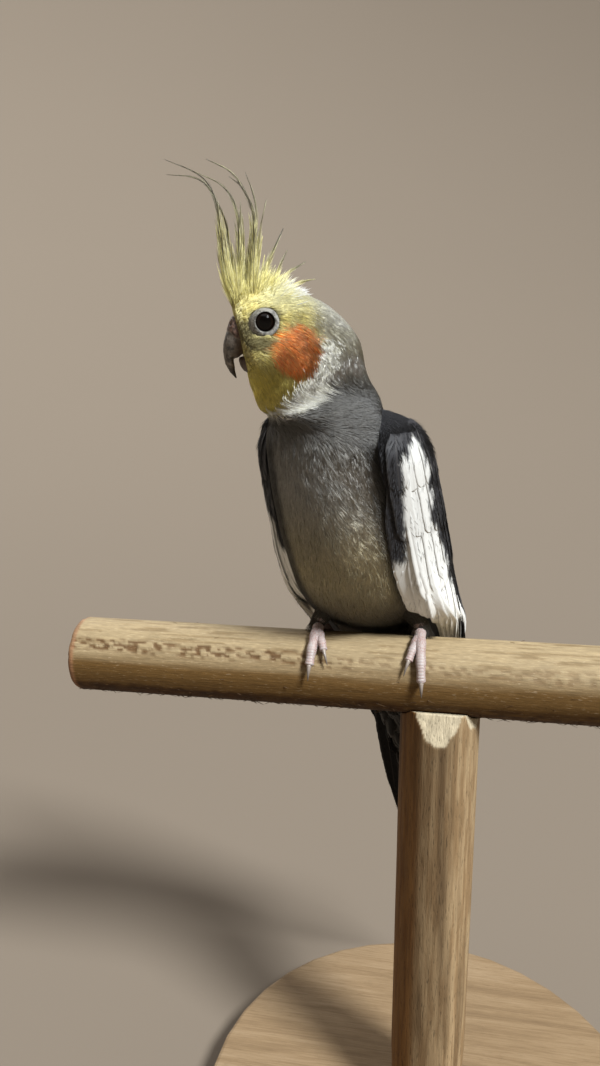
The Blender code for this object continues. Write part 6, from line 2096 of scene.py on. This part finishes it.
class CockatielStage(bpy.types.PropertyGroup):
    """Studio light and floor."""
    floor: colour_setting("Floor", "Pale sweep behind the model", (0.187, 0.154, 0.121))
    key: bpy.props.FloatProperty(name="Key light", description="Strength of the main light", default=6.0,
                                 min=0.0)
    fill: bpy.props.FloatProperty(name="Fill light", description="Strength of the even light all round",
                                  default=1.12, min=0.0)
    rim: bpy.props.FloatProperty(name="Back light", description="Strength of the light behind", default=0.9,
                                 min=0.0)


def draws(offset):
    """Seeded random draws of one piece."""
    return np.random.default_rng(bpy.context.scene.cockatiel_plumage.seed * 100 + offset)


class COCKATIEL_OT_skin(bpy.types.Operator):
    """Make the skin under the feathers"""
    bl_idname = "cockatiel.skin"
    bl_label = "Skin"
    bl_options = {"REGISTER", "UNDO"}

    def execute(self, context):
        build_skin()
        return {"FINISHED"}


class COCKATIEL_OT_coat(bpy.types.Operator):
    """Lay the small feathers of trunk, thighs and neck"""
    bl_idname = "cockatiel.coat"
    bl_label = "Coat"
    bl_options = {"REGISTER", "UNDO"}

    def execute(self, context):
        build_trunk_coat(draws(1))
        build_thighs(draws(7))
        return {"FINISHED"}


class COCKATIEL_OT_face(bpy.types.Operator):
    """Lay the fine feathers of the head"""
    bl_idname = "cockatiel.face"
    bl_label = "Face"
    bl_options = {"REGISTER", "UNDO"}

    def execute(self, context):
        build_head_coat(draws(2))
        return {"FINISHED"}


class COCKATIEL_OT_eyes(bpy.types.Operator):
    """Make the eyes and their bare rings"""
    bl_idname = "cockatiel.eyes"
    bl_label = "Eyes"
    bl_options = {"REGISTER", "UNDO"}

    def execute(self, context):
        build_eyes()
        return {"FINISHED"}


class COCKATIEL_OT_bill(bpy.types.Operator):
    """Make the two halves of the bill"""
    bl_idname = "cockatiel.bill"
    bl_label = "Bill"
    bl_options = {"REGISTER", "UNDO"}

    def execute(self, context):
        build_bill()
        return {"FINISHED"}


class COCKATIEL_OT_crest(bpy.types.Operator):
    """Make the crest and the wisps behind it"""
    bl_idname = "cockatiel.crest"
    bl_label = "Crest"
    bl_options = {"REGISTER", "UNDO"}

    def execute(self, context):
        build_crest(draws(3))
        return {"FINISHED"}


class COCKATIEL_OT_wings(bpy.types.Operator):
    """Make both folded wings"""
    bl_idname = "cockatiel.wings"
    bl_label = "Wings"
    bl_options = {"REGISTER", "UNDO"}

    def execute(self, context):
        build_wings(draws(4))
        return {"FINISHED"}


class COCKATIEL_OT_tail(bpy.types.Operator):
    """Make the long tail and its coverts"""
    bl_idname = "cockatiel.tail"
    bl_label = "Tail"
    bl_options = {"REGISTER", "UNDO"}

    def execute(self, context):
        build_tail(draws(5))
        return {"FINISHED"}


class COCKATIEL_OT_feet(bpy.types.Operator):
    """Make feet and claws on the perch"""
    bl_idname = "cockatiel.feet"
    bl_label = "Feet"
    bl_options = {"REGISTER", "UNDO"}

    def execute(self, context):
        build_feet()
        return {"FINISHED"}


class COCKATIEL_OT_perch(bpy.types.Operator):
    """Make the wooden perch rod"""
    bl_idname = "cockatiel.perch"
    bl_label = "Perch"
    bl_options = {"REGISTER", "UNDO"}

    def execute(self, context):
        build_perch(draws(6))
        return {"FINISHED"}


class COCKATIEL_OT_stand(bpy.types.Operator):
    """Make the post and finish the base"""
    bl_idname = "cockatiel.stand"
    bl_label = "Stand"
    bl_options = {"REGISTER", "UNDO"}

    def execute(self, context):
        build_post()
        build_base()
        return {"FINISHED"}


class COCKATIEL_OT_stage(bpy.types.Operator):
    """Set the floor, lights and camera"""
    bl_idname = "cockatiel.stage"
    bl_label = "Stage"
    bl_options = {"REGISTER", "UNDO"}

    def execute(self, context):
        build_stage()
        return {"FINISHED"}


STEPS = (COCKATIEL_OT_stage, COCKATIEL_OT_skin, COCKATIEL_OT_coat, COCKATIEL_OT_face, COCKATIEL_OT_eyes,
         COCKATIEL_OT_bill, COCKATIEL_OT_crest, COCKATIEL_OT_wings, COCKATIEL_OT_tail, COCKATIEL_OT_feet,
         COCKATIEL_OT_perch, COCKATIEL_OT_stand)
SETTINGS = {"cockatiel_plumage": CockatielPlumage, "cockatiel_head": CockatielHead,
            "cockatiel_feet": CockatielFeet, "cockatiel_stand": CockatielStand,
            "cockatiel_stage": CockatielStage}


class COCKATIEL_PT_panel(bpy.types.Panel):
    """Steps and settings in the sidebar"""
    bl_idname = "COCKATIEL_PT_panel"
    bl_label = "Perched Cockatiel"
    bl_space_type = "VIEW_3D"
    bl_region_type = "UI"
    bl_category = "Cockatiel"

    def draw(self, context):
        for step in STEPS:
            self.layout.operator(step.bl_idname)
        for key, kind in SETTINGS.items():
            box = self.layout.box()
            for name in kind.__annotations__:
                box.prop(getattr(context.scene, key), name)


def register():
    for kind in (*SETTINGS.values(), *STEPS, COCKATIEL_PT_panel):
        bpy.utils.register_class(kind)
    for key, kind in SETTINGS.items():
        setattr(bpy.types.Scene, key, bpy.props.PointerProperty(type=kind))


def unregister():
    for key in SETTINGS:
        delattr(bpy.types.Scene, key)
    for kind in reversed((*SETTINGS.values(), *STEPS, COCKATIEL_PT_panel)):
        bpy.utils.unregister_class(kind)


def main():
    register()
    make_groups()
    for step in STEPS:
        area, name = step.bl_idname.split(".")
        getattr(getattr(bpy.ops, area), name)()


if __name__ == "__main__":
    main()
